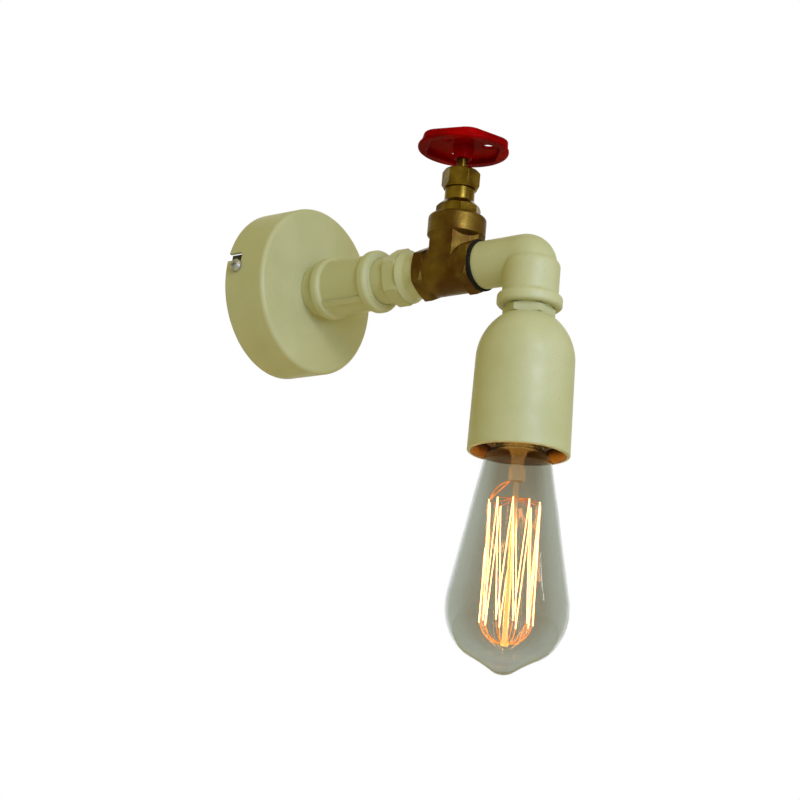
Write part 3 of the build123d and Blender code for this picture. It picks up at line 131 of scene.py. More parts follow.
white = tree.nodes.new("ShaderNodeBackground")
white.inputs["Color"].default_value = WHITE
room = tree.nodes.new("ShaderNodeBackground")
room.inputs["Color"].default_value = ROOM_TONE
room.inputs["Strength"].default_value = ROOM_STRENGTH
choose = tree.nodes.new("ShaderNodeMixShader")
world_out = tree.nodes.new("ShaderNodeOutputWorld")
tree.links.new(shown_white, choose.inputs["Fac"])
tree.links.new(room.outputs[0], choose.inputs[1])
tree.links.new(white.outputs[0], choose.inputs[2])
tree.links.new(choose.outputs[0], world_out.inputs["Surface"])
bpy.context.scene.view_settings.view_transform = "Standard"
print("room light of strength", ROOM_STRENGTH, "and a white backdrop")

# %% [markdown]
# Three soft boxes light the object. A large cool one stands to the right of the camera, as in the
# photograph, where the cup is grey-green from its middle to its right and olive brown on its
# left. A small warm one is as far above the object as the camera is below, so upright metal
# mirrors it. Another small one hangs high up in front and lights the tops.

# %% The soft boxes
BOXES = {
    "key": {
        "place": (-0.62, -1.46, 0.14), "size": 0.9, "watts": 15.5, "colour": (0.37, 0.53, 1.0),
    },
    "spark": {
        "place": (-0.67, -1.46, 0.37), "size": 0.16, "watts": 2.9, "colour": (1.0, 0.94, 0.76),
    },
    "top": {
        "place": (-0.45, -0.75, 0.85), "size": 0.30, "watts": 0.7, "colour": (1.0, 0.90, 0.70),
    },
}
AIM = Vector((0.0, -0.12, -0.03))


def hang_light(name, data, place):
    """Puts a light at its place and turns its face to the object."""
    light = bpy.data.objects.new(name, data)
    bpy.context.scene.collection.objects.link(light)
    light.location = place
    light.rotation_euler = (AIM - Vector(place)).to_track_quat("-Z", "Y").to_euler()
    print("light", name, round(data.energy, 2), "W")


for name, facts in BOXES.items():
    data = bpy.data.lights.new(name, "AREA")
    data.size, data.energy, data.color = facts["size"], facts["watts"], facts["colour"]
    hang_light(name, data, facts["place"])

# %% [markdown]
# A soft box would also show as a white window in the bulb. The photograph has only thin glints
# there, so light linking keeps the three boxes off the glass, and a narrow strip further to the
# right lights the glass together with everything else.

# %% Keep the boxes off the glass
STRIP_PLACE = (0.35, -1.45, 0.30)
STRIP_WIDTH, STRIP_HEIGHT = 0.03, 0.45
STRIP_WATTS = 0.5
STRIP_TONE = (0.85, 0.92, 1.0)

lit_by_boxes = bpy.data.collections.new("lit_by_boxes")
lit_by_boxes.objects.link(nodes["lamp_glass"])
lit_by_boxes.collection_objects[0].light_linking.link_state = "EXCLUDE"
for name in BOXES:
    bpy.data.objects[name].light_linking.receiver_collection = lit_by_boxes

strip_data = bpy.data.lights.new("strip", "AREA")
strip_data.shape, strip_data.size, strip_data.size_y = "RECTANGLE", STRIP_WIDTH, STRIP_HEIGHT
strip_data.energy, strip_data.color = STRIP_WATTS, STRIP_TONE
hang_light("strip", strip_data, STRIP_PLACE)

# %% [markdown]
# The bulb itself throws an orange light up into the cup. The filament further down does glow, but
# a thin wire alone is too weak for that, so a small orange point of light sits in the neck of the
# bulb, just inside the cup. No camera, mirrored or transmitted ray sees it.

# %% The glow inside the bulb
GLOW_WATTS = 0.45
GLOW_TONE = (1.0, 0.26, 0.02)
GLOW_RADIUS = 0.004
GLOW_ABOVE_MOUTH = 0.004

glass_low, glass_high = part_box("lamp_glass")
lamp_axis_y = (glass_low.y + glass_high.y) / 2
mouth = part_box("cup")[0].z

glow_data = bpy.data.lights.new("bulb_glow", "POINT")
glow_data.energy, glow_data.color = GLOW_WATTS, GLOW_TONE
glow_data.shadow_soft_size = GLOW_RADIUS
glow = bpy.data.objects.new("bulb_glow", glow_data)
bpy.context.scene.collection.objects.link(glow)
glow.location = (0.0, lamp_axis_y, mouth + GLOW_ABOVE_MOUTH)
glow.visible_camera = glow.visible_glossy = glow.visible_transmission = False
print("glow at", [round(v, 4) for v in glow.location])

# %% [markdown]
# ## The floor
# A wall light hangs free, so its floor is far below it. The floor is a plain pale sheet, and the
# camera looks up past it.

# %% Make the floor
FLOOR_HEIGHT = -0.80
FLOOR_HALF = 4.0


def grid_mesh(name, points, loop_across=False, smooth=True, square_ends=False):
    """Surface through a grid of points.

    points[i, j] is the place at row i and column j. Each face joins the four neighbours (i, j),
    (i, j+1), (i+1, j+1) and (i+1, j). With loop_across the last column is joined to the first.
    With square_ends a tube of four columns is closed by one face over each end.
    """
    rows, columns = points.shape[:2]
    across = columns if loop_across else columns - 1
    i, j = np.meshgrid(np.arange(rows - 1), np.arange(across), indexing="ij")
    this_row, next_row = i * columns, (i + 1) * columns
    after = (j + 1) % columns
    corners = [this_row + j, this_row + after, next_row + after, next_row + j]
    faces = np.stack(corners, -1).reshape(-1, 4).astype(np.int32)
    if square_ends:
        ends = [[0, 3, 2, 1], [(rows - 1) * columns + k for k in range(4)]]
        faces = np.concatenate([faces, np.array(ends, dtype=np.int32)])
    mesh = bpy.data.meshes.new(name)
    mesh.vertices.add(rows * columns)
    mesh.vertices.foreach_set("co", points.reshape(-1).astype(np.float32))
    mesh.loops.add(faces.size)
    mesh.loops.foreach_set("vertex_index", faces.reshape(-1))
    mesh.polygons.add(len(faces))
    mesh.polygons.foreach_set("loop_start", np.arange(0, faces.size, 4, dtype=np.int32))
    mesh.polygons.foreach_set("use_smooth", np.full(len(faces), smooth))
    mesh.update(calc_edges=True)
    mesh.validate()
    piece = bpy.data.objects.new(name, mesh)
    bpy.context.scene.collection.objects.link(piece)
    print(name, "faces:", len(mesh.polygons))
    return piece


edges = FLOOR_HALF * np.array([-1.0, 1.0])
floor_x, floor_y = np.meshgrid(edges, edges)
floor_points = np.stack([floor_x, floor_y, np.full_like(floor_x, FLOOR_HEIGHT)], -1)
floor = grid_mesh("floor", floor_points, smooth=False)

# %% [markdown]
# ## Helpers for finishes
# Every finish starts from one Principled shader. What varies over a surface, such as blotches,
# grain or fine bumps, comes from noise on Object coordinates. Those stay fixed to the piece in
# any view. The scale of a noise is in cells per metre, so 1000 gives grains of about 1 mm.

# %% A finish and its noise


def finish(name, colour, roughness, metallic=0.0):
    """New material, and the one Principled shader in it."""
    material = bpy.data.materials.new(name)
    material.use_nodes = True
    shader = material.node_tree.nodes["Principled BSDF"]
    shader.inputs["Base Color"].default_value = (*colour, 1.0)
    shader.inputs["Roughness"].default_value = roughness
    shader.inputs["Metallic"].default_value = metallic
    return material, shader


def noise(material, scale, detail=3.0, stretch=(1.0, 1.0, 1.0)):
    """Noise between 0 and 1 on Object coordinates."""
    tree = material.node_tree
    place = tree.nodes.new("ShaderNodeTexCoord")
    mapping = tree.nodes.new("ShaderNodeMapping")
    mapping.inputs["Scale"].default_value = stretch
    texture = tree.nodes.new("ShaderNodeTexNoise")
    texture.inputs["Scale"].default_value = scale
    texture.inputs["Detail"].default_value = detail
    tree.links.new(place.outputs["Object"], mapping.inputs["Vector"])
    tree.links.new(mapping.outputs["Vector"], texture.inputs["Vector"])
    return texture.outputs["Fac"]


def coordinate(material, axis):
    """One Object coordinate, X, Y or Z, in metres."""
    tree = material.node_tree
    place = tree.nodes.new("ShaderNodeTexCoord")
    axes = tree.nodes.new("ShaderNodeSeparateXYZ")
    tree.links.new(place.outputs["Object"], axes.inputs[0])
    return axes.outputs[axis]


# %% [markdown]
# A noise is seldom used as it comes. It is spread over the range that a socket needs, it blends
# two colours, or it raises and lowers the surface.

# %% From noise to colour and relief
BEVEL_SAMPLES = 6
MIX_FIRST, MIX_SECOND, MIX_RESULT = 6, 7, 2  # where a Mix node keeps its colour sockets


def spread(material, value, low, high, start=0.35, end=0.65):
    """Number that goes from low to high while the value goes from start to end."""
    ranger = material.node_tree.nodes.new("ShaderNodeMapRange")
    ends = (("From Min", start), ("From Max", end), ("To Min", low), ("To Max", high))
    for socket, number in ends:
        ranger.inputs[socket].default_value = number
    material.node_tree.links.new(value, ranger.inputs["Value"])
    return ranger.outputs["Result"]


def blend_colours(material, value, first, second):
    """Colour that goes from first to second as the value goes from 0 to 1."""
    mixer = material.node_tree.nodes.new("ShaderNodeMix")
    mixer.data_type = "RGBA"
    material.node_tree.links.new(value, mixer.inputs[0])
    for socket, colour in ((MIX_FIRST, first), (MIX_SECOND, second)):
        if isinstance(colour, tuple):
            mixer.inputs[socket].default_value = (*colour, 1.0)
        else:
            material.node_tree.links.new(colour, mixer.inputs[socket])
    return mixer.outputs[MIX_RESULT]


def feed(material, value, shader, socket):
    """Lets a node's value drive one socket of the shader."""
    material.node_tree.links.new(value, shader.inputs[socket])


def blotches(material, shader, dark, light, scale, detail, start=0.35, end=0.65):
    """Base colour that wanders from dark to light while a noise goes from start to end."""
    share = spread(material, noise(material, scale, detail), 0.0, 1.0, start, end)
    feed(material, blend_colours(material, share, dark, light), shader, "Base Color")


def uneven_gloss(material, shader, scale, low, high):
    """Roughness that wanders between low and high."""
    feed(material, spread(material, noise(material, scale), low, high), shader, "Roughness")


def bumps(material, shader, height, depth, softened=0.0):
    """Fine relief from a height between 0 and 1: depth is in metres. Edges can be softened."""
    tree = material.node_tree
    bump = tree.nodes.new("ShaderNodeBump")
    bump.inputs["Distance"].default_value = depth
    tree.links.new(height, bump.inputs["Height"])
    if softened > 0:
        bevel = tree.nodes.new("ShaderNodeBevel")
        bevel.samples = BEVEL_SAMPLES
        bevel.inputs["Radius"].default_value = softened
        tree.links.new(bevel.outputs["Normal"], bump.inputs["Normal"])
    tree.links.new(bump.outputs["Normal"], shader.inputs["Normal"])


def dress(material, *names):
    """Gives the material to CAD nodes."""
    for name in names:
        mesh = nodes[name].data
        mesh.materials.clear()
        mesh.materials.append(material)
    print(material.name, "->", ", ".join(names))


# %% [markdown]
# ## Cream powder coat
# The canopy, the fittings and the cup are iron castings and turned parts with one coat of matte
# cream paint. Up close the coat has a fine pebbled skin, faint blotches, and a slightly darker
# tone where dust sits. A Voronoi pattern could give the pebbles, but noise of two sizes is softer
# and closer to sprayed powder. The Bevel node rounds the sharp inner corners as the paint does,
# most of all on the cast elbow.

# %% Paint the cream parts
CREAM_DARK, CREAM_LIGHT = (0.52, 0.51, 0.24), (0.57, 0.56, 0.285)
CREAM_DUST = (0.50, 0.46, 0.20)


def cream_coat(name, softened):
    """Cream paint with faint blotches and specks: its material, shader and colour."""
    material, shader = finish(name, CREAM_LIGHT, roughness=0.46)
    clouds = spread(material, noise(material, 26.0, detail=4.0), 0.0, 1.0, start=0.40, end=0.62)
    specks = spread(material, noise(material, 900.0, detail=2.0), 0.0, 1.0, start=0.66, end=0.72)
    tone = blend_colours(material, clouds, CREAM_DARK, CREAM_LIGHT)
    tone = blend_colours(material, specks, tone, CREAM_DUST)
    feed(material, tone, shader, "Base Color")
    uneven_gloss(material, shader, 120.0, low=0.40, high=0.52)
    bumps(material, shader, noise(material, 1100.0, detail=2.0), depth=0.00006, softened=softened)
    return material, shader, tone


cream = cream_coat("cream_powder_coat", softened=0.0009)[0]
dress(cream, "canopy", "coupling", "hex_nipple", "cup_reducer")
dress(cream_coat("cream_cast_elbow", softened=0.0024)[0], "elbow")

# %% [markdown]
# The cup is cream outside and dark inside. Its inside could be a piece of its own, but one finish
# with two
# zones keeps the CAD mesh as it is: near the mouth, closer to the cup's axis than the middle of
# the wall, a dark tone takes over.

# %% Paint the cup
# The inside of the cup near its mouth is given a dark tone.
DARK_INSIDE = (0.022, 0.024, 0.018)
CUP_INSIDE_RADIUS = 0.0252
DARK_EDGE, CREAM_EDGE = CUP_INSIDE_RADIUS - 0.0002, CUP_INSIDE_RADIUS + 0.0003
DARK_HEIGHT = 0.020  # above the mouth
DARK_FADE = 0.001

cup_paint, cup_shader, cup_cream = cream_coat("cream_cup", softened=0.0006)
cup_tree = cup_paint.node_tree
cup_place = cup_tree.nodes.new("ShaderNodeTexCoord")
flattened = cup_tree.nodes.new("ShaderNodeMapping")
flattened.inputs["Location"].default_value = (0.0, -lamp_axis_y, 0.0)
flattened.inputs["Scale"].default_value = (1.0, 1.0, 0.0)
from_axis = cup_tree.nodes.new("ShaderNodeVectorMath")
from_axis.operation = "LENGTH"
cup_tree.links.new(cup_place.outputs["Object"], flattened.inputs["Vector"])
cup_tree.links.new(flattened.outputs["Vector"], from_axis.inputs[0])

outside = spread(cup_paint, from_axis.outputs["Value"], 0.0, 1.0, DARK_EDGE, CREAM_EDGE)
dark_top = mouth + DARK_HEIGHT
above = spread(cup_paint, coordinate(cup_paint, "Z"), 0.0, 1.0, dark_top, dark_top + DARK_FADE)
cream_share = combine(cup_tree, "MAXIMUM", outside, above)
feed(cup_paint, blend_colours(cup_paint, cream_share, DARK_INSIDE, cup_cream), cup_shader, "Base Color")
dress(cup_paint, "cup")

# %% [markdown]
# ## Darkened brass
# The valve is cast brass that has gone brown, with brighter yellow metal where it is turned or
# rubbed. Its cast skin is slightly grainy. Two colours mixed by slow noise give the patina. The
# machined pieces, the bonnet, the gland nut and the stem, take a second brass with fine rings
# instead: a noise that is squeezed along the upright axis.

# %% Cast and turned brass
CAST_BROWN, CAST_YELLOW = (0.115, 0.053, 0.010), (0.22, 0.138, 0.022)
TURNED_BROWN, TURNED_YELLOW = (0.115, 0.064, 0.006), (0.27, 0.175, 0.024)
RINGS_STRETCH = (1.0, 1.0, 60.0)

cast_brass, cast_shader = finish("cast_brass", CAST_YELLOW, roughness=0.40, metallic=1.0)
blotches(cast_brass, cast_shader, CAST_BROWN, CAST_YELLOW, 70.0, 5.0, start=0.40, end=0.68)
uneven_gloss(cast_brass, cast_shader, 160.0, low=0.34, high=0.52)
cast_skin = noise(cast_brass, 700.0)
bumps(cast_brass, cast_shader, cast_skin, depth=0.00012, softened=0.0006)
dress(cast_brass, "valve_body")

turned_brass, turned_shader = finish("turned_brass", TURNED_YELLOW, roughness=0.24, metallic=1.0)
blotches(turned_brass, turned_shader, TURNED_BROWN, TURNED_YELLOW, 90.0, 4.0, start=0.42, end=0.66)
rings = noise(turned_brass, 60.0, detail=1.0, stretch=RINGS_STRETCH)
bumps(turned_brass, turned_shader, rings, depth=0.00003, softened=0.0004)
dress(turned_brass, "valve_bonnet", "gland_nut", "valve_stem")

# %% [markdown]
# ## Red gloss paint
# The handwheel is dipped in dark red enamel, which pools a little. Paint with a full mirror of the
# room would look pink at a grazing angle, so the base has a low IOR, and a very thin coat over it
# keeps a faint wet look.

# %% Paint the wheel
DEEP_RED, BRIGHT_RED = (0.20, 0.0005, 0.001), (0.38, 0.001, 0.001)
ENAMEL_IOR = 1.05
ENAMEL_COAT, ENAMEL_COAT_ROUGHNESS = 0.015, 0.15

red, red_shader = finish("red_enamel", BRIGHT_RED, roughness=0.36)
red_shader.inputs["IOR"].default_value = ENAMEL_IOR
red_shader.inputs["Coat Weight"].default_value = ENAMEL_COAT
red_shader.inputs["Coat Roughness"].default_value = ENAMEL_COAT_ROUGHNESS
blotches(red, red_shader, DEEP_RED, BRIGHT_RED, 45.0, 3.0, start=0.38, end=0.66)
bumps(red, red_shader, noise(red, 150.0, detail=2.0), depth=0.00012, softened=0.0008)
dress(red, "handwheel")

# %% [markdown]
# ## Plated steel, nickel and bright brass
# Screws, nuts and washers are zinc plated: pale, with a faint cloudy grain. The strap on the wall
# is dark steel, the lamp's cap is nickel with a warmer tone, and the earth screws are clean brass.

# %% Small metal parts


def plated(name, dark, light, roughness):
    """Plated metal with cloudy colour and uneven gloss."""
    material, shader = finish(name, light, roughness, metallic=1.0)
    blotches(material, shader, dark, light, 240.0, 4.0)
    uneven_gloss(material, shader, 500.0, low=roughness * 0.8, high=roughness * 1.3)
    bumps(material, shader, noise(material, 1500.0, detail=2.0), depth=0.00002, softened=0.0002)
    return material


bracket_steel = plated(
    "dark_bracket_steel", dark=(0.05, 0.05, 0.048), light=(0.10, 0.10, 0.095), roughness=0.50,
)
dress(bracket_steel, "wall_bracket")
zinc = plated("zinc_plate", dark=(0.42, 0.43, 0.44), light=(0.62, 0.63, 0.64), roughness=0.32)
dress(
    zinc, "lock_screws", "canopy_nipple", "canopy_washer", "canopy_locknut",
    "block_screw", "terminal_screws", "cup_washer", "cup_locknut", "holder_tube",
    "holder_locknut", "holder_screws", "handwheel_washer", "handwheel_nut",
)
bright_brass = plated(
    "bright_brass", dark=(0.55, 0.37, 0.12), light=(0.76, 0.56, 0.22), roughness=0.25,
)
dress(
    bright_brass, "bracket_earth_screw", "canopy_earth_screw", "terminal_clamps",
    "holder_contact", "holder_side_contact", "holder_shell",
)
tin = plated("tinned_contact", dark=(0.38, 0.38, 0.37), light=(0.60, 0.60, 0.58), roughness=0.38)
dress(tin, "lamp_contact")

# %% [markdown]
# ## Rubber, plastics and ceramic
# The seal before the elbow is black rubber, which mirrors almost nothing. The lampholder is dark
# brown moulded plastic with a pale glazed ceramic inside. The terminal block is white nylon, and
# the live and neutral wires have smooth insulation in their usual colours.

# %% Dull and moulded parts
RUBBER_MIRROR = 0.15


def moulded(name, colour, roughness, grain, depth):
    """Moulded or glazed finish with a slight change of tone and a fine skin, and its shader."""
    material, shader = finish(name, colour, roughness)
    darker = tuple(0.78 * c for c in colour)
    blotches(material, shader, darker, colour, 110.0, 4.0)
    uneven_gloss(material, shader, 300.0, low=roughness * 0.85, high=roughness * 1.2)
    bumps(material, shader, noise(material, grain, detail=2.0), depth)
    return material, shader


rubber, rubber_shader = moulded("black_rubber", (0.012, 0.011, 0.009), 0.75, 1200.0, 0.00005)
rubber_shader.inputs["Specular IOR Level"].default_value = RUBBER_MIRROR
dress(rubber, "valve_seal")

MOULDED = {  # colour, roughness, grain in cells per metre, depth of the skin, pieces
    "graphite_packing": ((0.10, 0.10, 0.095), 0.85, 1500.0, 0.00015, ("gland_packing",)),
    "brown_plastic": ((0.105, 0.045, 0.020), 0.42, 900.0, 0.00003, ("holder_cap", "holder_body")),
    "glazed_ceramic": ((0.78, 0.75, 0.68), 0.18, 400.0, 0.00003, ("holder_insert",)),
    "white_nylon": ((0.78, 0.78, 0.74), 0.40, 900.0, 0.00003, ("terminal_block",)),
    "brown_insulation": ((0.17, 0.065, 0.025), 0.38, 700.0, 0.00002, ("wire_live",)),
    "blue_insulation": ((0.025, 0.11, 0.42), 0.38, 700.0, 0.00002, ("wire_neutral",)),
}
for name, (colour, roughness, grain, depth, pieces) in MOULDED.items():
    dress(moulded(name, colour, roughness, grain, depth)[0], *pieces)

# %% [markdown]
# The earth wire is green with a yellow side. A stripe could be painted on a UV map, but this wire
# is short and keeps close to one upright plane, so the side is found from the Y coordinate.

# %% The earth wire
EARTH_GREEN, EARTH_YELLOW = (0.06, 0.30, 0.05), (0.72, 0.62, 0.04)
STRIPE_PLACE = -0.0150
STRIPE_FADE = 0.0001

striped, striped_shader = finish("green_yellow_insulation", EARTH_GREEN, roughness=0.38)
stripe_ends = (STRIPE_PLACE - STRIPE_FADE, STRIPE_PLACE + STRIPE_FADE)
stripe = spread(striped, coordinate(striped, "Y"), 0.0, 1.0, *stripe_ends)
striped_tone = blend_colours(striped, stripe, EARTH_YELLOW, EARTH_GREEN)
feed(striped, striped_tone, striped_shader, "Base Color")
bumps(striped, striped_shader, noise(striped, 700.0, detail=2.0), depth=0.00002)
dress(striped, "wire_earth")

# %% [markdown]
# ## Glass
# The bulb is a thin blown shell, so its wall has an outer and an inner face, and light crosses
# four of them. A slightly grey tint at each face adds up to the grey of the photograph. Towards
# the outline the tint is painted paler and bluer, as painted light for the bright surroundings
# that the glass bends into view there, so the tint follows the Layer Weight. Towards the cup the
# tint is darker.

# %% Blow the bulb
GLASS_IOR = 1.46
BULB_MIDDLE, BULB_PAINTED_PALE_EDGE = (0.50, 0.485, 0.41), (0.63, 0.69, 0.67)
BULB_DARKER_NECK = (0.42, 0.40, 0.33)
EDGE_START, EDGE_END = 0.17, 0.40      # of the Layer Weight's Facing
NECK_DARK_START, NECK_DARK_END = 0.030, 0.008  # below the cup's mouth


def glass(name, colour, roughness, ior=GLASS_IOR):
    """Clear glass with a faint waviness: its material and shader."""
    material, shader = finish(name, colour, roughness)
    shader.inputs["Transmission Weight"].default_value = 1.0
    shader.inputs["IOR"].default_value = ior
    bumps(material, shader, noise(material, 40.0, detail=1.0), depth=0.00010)
    return material, shader


bulb_glass, bulb_shader = glass("bulb_glass", BULB_MIDDLE, roughness=0.0)
# Painted light: towards the outline the tint turns paler and bluer, for the bright surroundings
# seen through the glass.
facing = bulb_glass.node_tree.nodes.new("ShaderNodeLayerWeight").outputs["Facing"]
edge = spread(bulb_glass, facing, 0.0, 1.0, EDGE_START, EDGE_END)
# The tint turns darker just below the cup's mouth.
neck_dark_ends = (mouth - NECK_DARK_START, mouth - NECK_DARK_END)
neck_dark_share = spread(bulb_glass, coordinate(bulb_glass, "Z"), 0.0, 1.0, *neck_dark_ends)
middle = blend_colours(bulb_glass, neck_dark_share, BULB_MIDDLE, BULB_DARKER_NECK)
bulb_tint = blend_colours(bulb_glass, edge, middle, BULB_PAINTED_PALE_EDGE)
feed(bulb_glass, bulb_tint, bulb_shader, "Base Color")
dress(bulb_glass, "lamp_glass")

# %% [markdown]
# The pressed foot and the rod inside are a clearer glass with a lower IOR, with a painted orange
# glow for the filament's light, strongest on the rod inside the cage. The glass throws no shadow,
# because a real clear bulb lets nearly all light through. The insulator at the cap's end is opaque
# black glass.

# %% Foot, rod and insulator
FOOT_IOR = 1.20
ROD_PAINTED_TONE = (1.0, 0.50, 0.10, 1.0)
ROD_PAINTED_GLOW, FOOT_PAINTED_GLOW = 0.9, 0.16
ROD_FADE_START, ROD_FADE_END = -0.012, 0.002  # from the top of the cage

foot_glass, foot_shader = glass("foot_glass", (0.92, 0.88, 0.84), roughness=0.03, ior=FOOT_IOR)
# The emission of the foot and the rod is painted glow from the filament.
foot_shader.inputs["Emission Color"].default_value = ROD_PAINTED_TONE
cage_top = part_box("lamp_filament")[1].z
rod_ends = (cage_top + ROD_FADE_START, cage_top + ROD_FADE_END)
rod_painted_glow = spread(foot_glass, coordinate(foot_glass, "Z"), ROD_PAINTED_GLOW, FOOT_PAINTED_GLOW, *rod_ends)
feed(foot_glass, rod_painted_glow, foot_shader, "Emission Strength")
dress(foot_glass, "lamp_stem")
for name in ("lamp_glass", "lamp_stem"):
    nodes[name].visible_shadow = False

black_glass, black_shader = finish("black_cap_glass", (0.012, 0.012, 0.014), roughness=0.12)
bumps(black_glass, black_shader, noise(black_glass, 300.0, detail=2.0), depth=0.00003)
dress(black_glass, "lamp_cap_insulator")

# %% [markdown]
# ## The filament
# The real filament is a tungsten wire wound into a very fine coil and hung in a cage of tall
# zigzag legs between an upper and a lower ring of hooks. CAD has the legs as a plain wire. A
# curve with a bevel could show them, but not the coil. Here the whole wire is one tube: a helix
# runs along each leg, and a small ring of points is carried along that helix.

# %% The line of the cage
LEGS = 20                      # ten loops, each up and down
LAST_LEG_LEFT_OUT = 0.4        # share of the last leg, so the wire's end keeps off its start
CAGE_TURN = np.radians(140.0)  # direction of the first leg's top, around the rod
HOOK_STEP = np.radians(36.0)   # from one upper hook to the next
CAGE_RADIUS = 0.0138
PLAIN_WIRE_RADIUS = 0.00025    # of the wire in the CAD model

wire_low, wire_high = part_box("lamp_filament")
cage_low, cage_high = wire_low.z + PLAIN_WIRE_RADIUS, wire_high.z - PLAIN_WIRE_RADIUS


def cage_line(count):
    """Points on the zigzag, and the angle around the rod at each of them.

    Leg k runs from the upper ring to the lower one, or back. At position t from 0 to LEGS the
    angle is the turn plus half a hook step for each whole leg, and the height swings between the
    two rings as a triangle wave of period 2.
    """
    t = np.linspace(0.0, LEGS - LAST_LEG_LEFT_OUT, count)
    angle = CAGE_TURN + t * HOOK_STEP / 2
    swing = 1 - np.abs((t % 2) - 1)
    knots = np.floor(t)
    first = CAGE_TURN + knots * HOOK_STEP / 2
    second = first + HOOK_STEP / 2
    share = (t - knots)[:, None]
    ends = [np.stack([np.cos(a), np.sin(a)], -1) * CAGE_RADIUS for a in (first, second)]
    flat = ends[0] * (1 - share) + ends[1] * share
    height = cage_high + (cage_low - cage_high) * swing
    return np.column_stack([flat[:, 0], flat[:, 1] + lamp_axis_y, height]), angle


print("filament legs", LEGS, "from", round(cage_low, 4), "to", round(cage_high, 4))

# %% [markdown]
# The coil is geometry and not a bump, because the meshes are kept on their own too, and a bump
# would stay behind in the material. Each turn has only a few points: the turns are half a
# millimetre apart, and there are thousands of them.

# %% Wind the filament
COIL_RADIUS = 0.00021
COIL_WIRE_RADIUS = 0.00009
COIL_PITCH = 0.00052
POINTS_PER_TURN = 6
WIRE_SIDES = 4
GLOW_ORANGE = (1.0, 0.40, 0.13, 1.0)
GLOW_LOW, GLOW_HIGH = 19.0, 29.0


def coil_tube():
    """Tube around a helix around the zigzag.

    The helix stands off the line by the coil radius, along the outward direction and the one
    across it, turning once for each pitch. The ring of each helix point stands off it by the
    wire radius, along the helix's own outward direction and the direction across its path.
    """
    length = LEGS * (cage_high - cage_low)
    turns = length / COIL_PITCH
    count = int(turns * POINTS_PER_TURN)
    line, angle = cage_line(count)
    outward = np.column_stack([np.cos(angle), np.sin(angle), np.zeros(count)])
    across = np.column_stack([-np.sin(angle), np.cos(angle), np.zeros(count)])
    phase = (2 * np.pi * turns * np.arange(count) / count)[:, None]
    arm = np.cos(phase) * outward + np.sin(phase) * across
    helix = line + COIL_RADIUS * arm
    ahead = np.gradient(helix, axis=0)
    ahead /= np.linalg.norm(ahead, axis=1, keepdims=True)
    side = np.cross(ahead, arm)
    around = (2 * np.pi * np.arange(WIRE_SIDES) / WIRE_SIDES)[None, :, None]
    ring = np.cos(around) * arm[:, None] + np.sin(around) * side[:, None]
    return helix[:, None] + COIL_WIRE_RADIUS * ring


filament = grid_mesh("filament_coil", coil_tube(), loop_across=True, square_ends=True)
tungsten, tungsten_shader = finish("glowing_tungsten", (1.0, 0.50, 0.16), roughness=0.5)
tungsten_shader.inputs["Emission Color"].default_value = GLOW_ORANGE
heat = spread(tungsten, noise(tungsten, 60.0, detail=2.0), GLOW_LOW, GLOW_HIGH)
feed(tungsten, heat, tungsten_shader, "Emission Strength")
filament.data.materials.append(tungsten)
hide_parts("lamp_filament")
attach(filament, "lamp")

# %% [markdown]
# The support hooks and the lead wires are thin nickel wire. Near the filament they get a painted
# orange glow: an orange base colour and some emission in their shader. The lower hooks get the
# most painted glow, and the spokes at the top of the cage, which touch it only at their tips, the
# least.

# %% Paint a glow on the hooks and the lead wires
# The orange base colour and the emission below are painted glow, standing in for the filament's
# light on the wires.
NICKEL_PAINTED_ORANGE = (0.62, 0.30, 0.14)
PAINTED_GLOW_ORANGE = (1.0, 0.28, 0.03, 1.0)
SPOKES_SHARE = 0.12    # of the lower hooks' glow
SPOKES_BELOW = 0.004   # from the cage's top down to where that share is reached


def nickel_with_painted_glow(name, weakest, strongest):
    """Nickel wire with an uneven painted orange glow: its material, shader and strength of that
    glow.
    """
    material, shader = finish(name, NICKEL_PAINTED_ORANGE, roughness=0.35, metallic=1.0)
    shader.inputs["Emission Color"].default_value = PAINTED_GLOW_ORANGE
    strength = spread(material, noise(material, 200.0), weakest, strongest)
    feed(material, strength, shader, "Emission Strength")
    return material, shader, strength


dress(nickel_with_painted_glow("lead_wire_painted_glow", weakest=0.9, strongest=1.6)[0], "lamp_leads")
hooks, hooks_shader, hooks_painted_glow = nickel_with_painted_glow("hook_wire_painted_glow", weakest=1.5, strongest=2.6)
hooks_ends = (cage_low, cage_high - SPOKES_BELOW)
# The painted glow of the hooks fades towards the top of the cage.
painted_glow_fade = spread(hooks, coordinate(hooks, "Z"), 1.0, SPOKES_SHARE, *hooks_ends)
hooks_faded_painted_glow = combine(hooks.node_tree, "MULTIPLY", hooks_painted_glow, painted_glow_fade)
feed(hooks, hooks_faded_painted_glow, hooks_shader, "Emission Strength")
dress(hooks, "lamp_hooks")

# %% [markdown]
# ## The cap's screw thread
# The cap of the lamp is thin sheet with a rolled round thread. CAD has a plain sleeve there. A
# Screw modifier could make the thread, but the closed rim and the cone at the top are easier as
# one surface: the radius at each height and angle is the sleeve's radius minus a wave that climbs
# one pitch for each turn, and the wave fades out near both ends.

# %% Roll the thread
THREAD_PITCH = 0.003629
THREAD_DEPTH = 0.00085
THREAD_FADE = 0.0030
CAP_SLOPE = 0.0016
CAP_WALL = 0.0005

cap_low, cap_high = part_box("lamp_cap")
cap_radius = (cap_high.x - cap_low.x) / 2


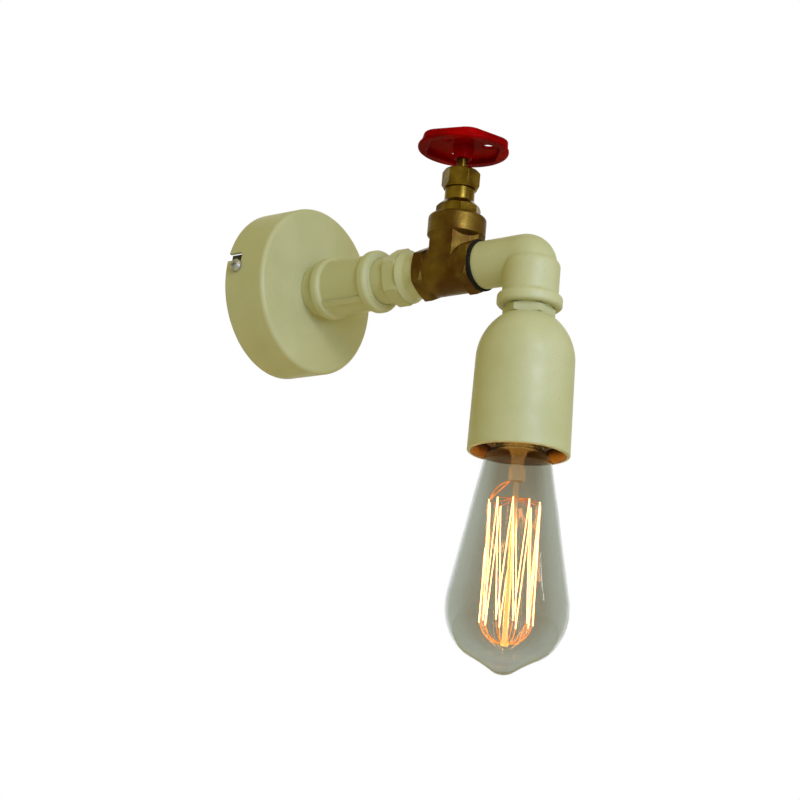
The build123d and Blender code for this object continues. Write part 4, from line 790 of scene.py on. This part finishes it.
def threaded_sleeve(rows=260, columns=96):
    """Closed shell of the cap, as a grid over height and angle.

    Going up the outside the radius is cap_radius - depth * fade * (1 + cos(2 pi z / pitch -
    angle)) / 2, then it narrows by the slope at the top. The inside is the same line drawn in by
    the wall, coming down again, and the last row is the first, so the rim is closed. With z up and
    the angle growing anticlockwise from above, the minus sign makes the thread right-handed: a
    groove climbs as the angle grows.
    """
    angle = 2 * np.pi * np.arange(columns) / columns
    climb = np.linspace(0.0, 1.0, rows)[:, None]
    z = cap_low.z + climb * (cap_high.z - cap_low.z)
    fade_in = np.clip((z - cap_low.z) / THREAD_FADE, 0, 1)
    fade_out = np.clip((cap_high.z - THREAD_FADE - z) / THREAD_FADE, 0, 1)
    wave = (1 + np.cos(2 * np.pi * (z - cap_low.z) / THREAD_PITCH - angle[None])) / 2
    top = np.clip((z - (cap_high.z - CAP_SLOPE)) / CAP_SLOPE, 0, 1)
    outer = cap_radius - THREAD_DEPTH * fade_in * fade_out * wave - CAP_SLOPE * top**2
    radius = np.concatenate([outer, outer[::-1] - CAP_WALL, outer[:1]])
    height = np.concatenate([z, z[::-1], z[:1]]) * np.ones_like(radius)
    x = radius * np.cos(angle)
    y = radius * np.sin(angle) + lamp_axis_y
    return np.stack([x, y, height], -1)


sleeve = grid_mesh("cap_thread", threaded_sleeve(), loop_across=True)
nickel = plated("nickel_cap", dark=(0.50, 0.40, 0.27), light=(0.70, 0.60, 0.45), roughness=0.24)
sleeve.data.materials.append(nickel)
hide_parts("lamp_cap")
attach(sleeve, "lamp")

# %% [markdown]
# ## The floor's finish
# The floor would take on the warm tone of the room light. A little light of its own, shown to the
# camera only, makes it pale and neutral without adding light to the object, and the diffuse part
# keeps the object's shadow.

# %% Finish the floor
FLOOR_PALE = (0.86, 0.83, 0.70)
FLOOR_COOL = (0.28, 0.33, 0.50, 1.0)

pale, pale_shader = finish("pale_floor", FLOOR_PALE, roughness=0.7)
uneven_gloss(pale, pale_shader, 3.0, low=0.64, high=0.76)
pale_shader.inputs["Emission Color"].default_value = FLOOR_COOL
pale_path = pale.node_tree.nodes.new("ShaderNodeLightPath")
feed(pale, pale_path.outputs["Is Camera Ray"], pale_shader, "Emission Strength")
floor.data.materials.append(pale)
print("floor", 2 * FLOOR_HALF, "m wide, at height", FLOOR_HEIGHT)
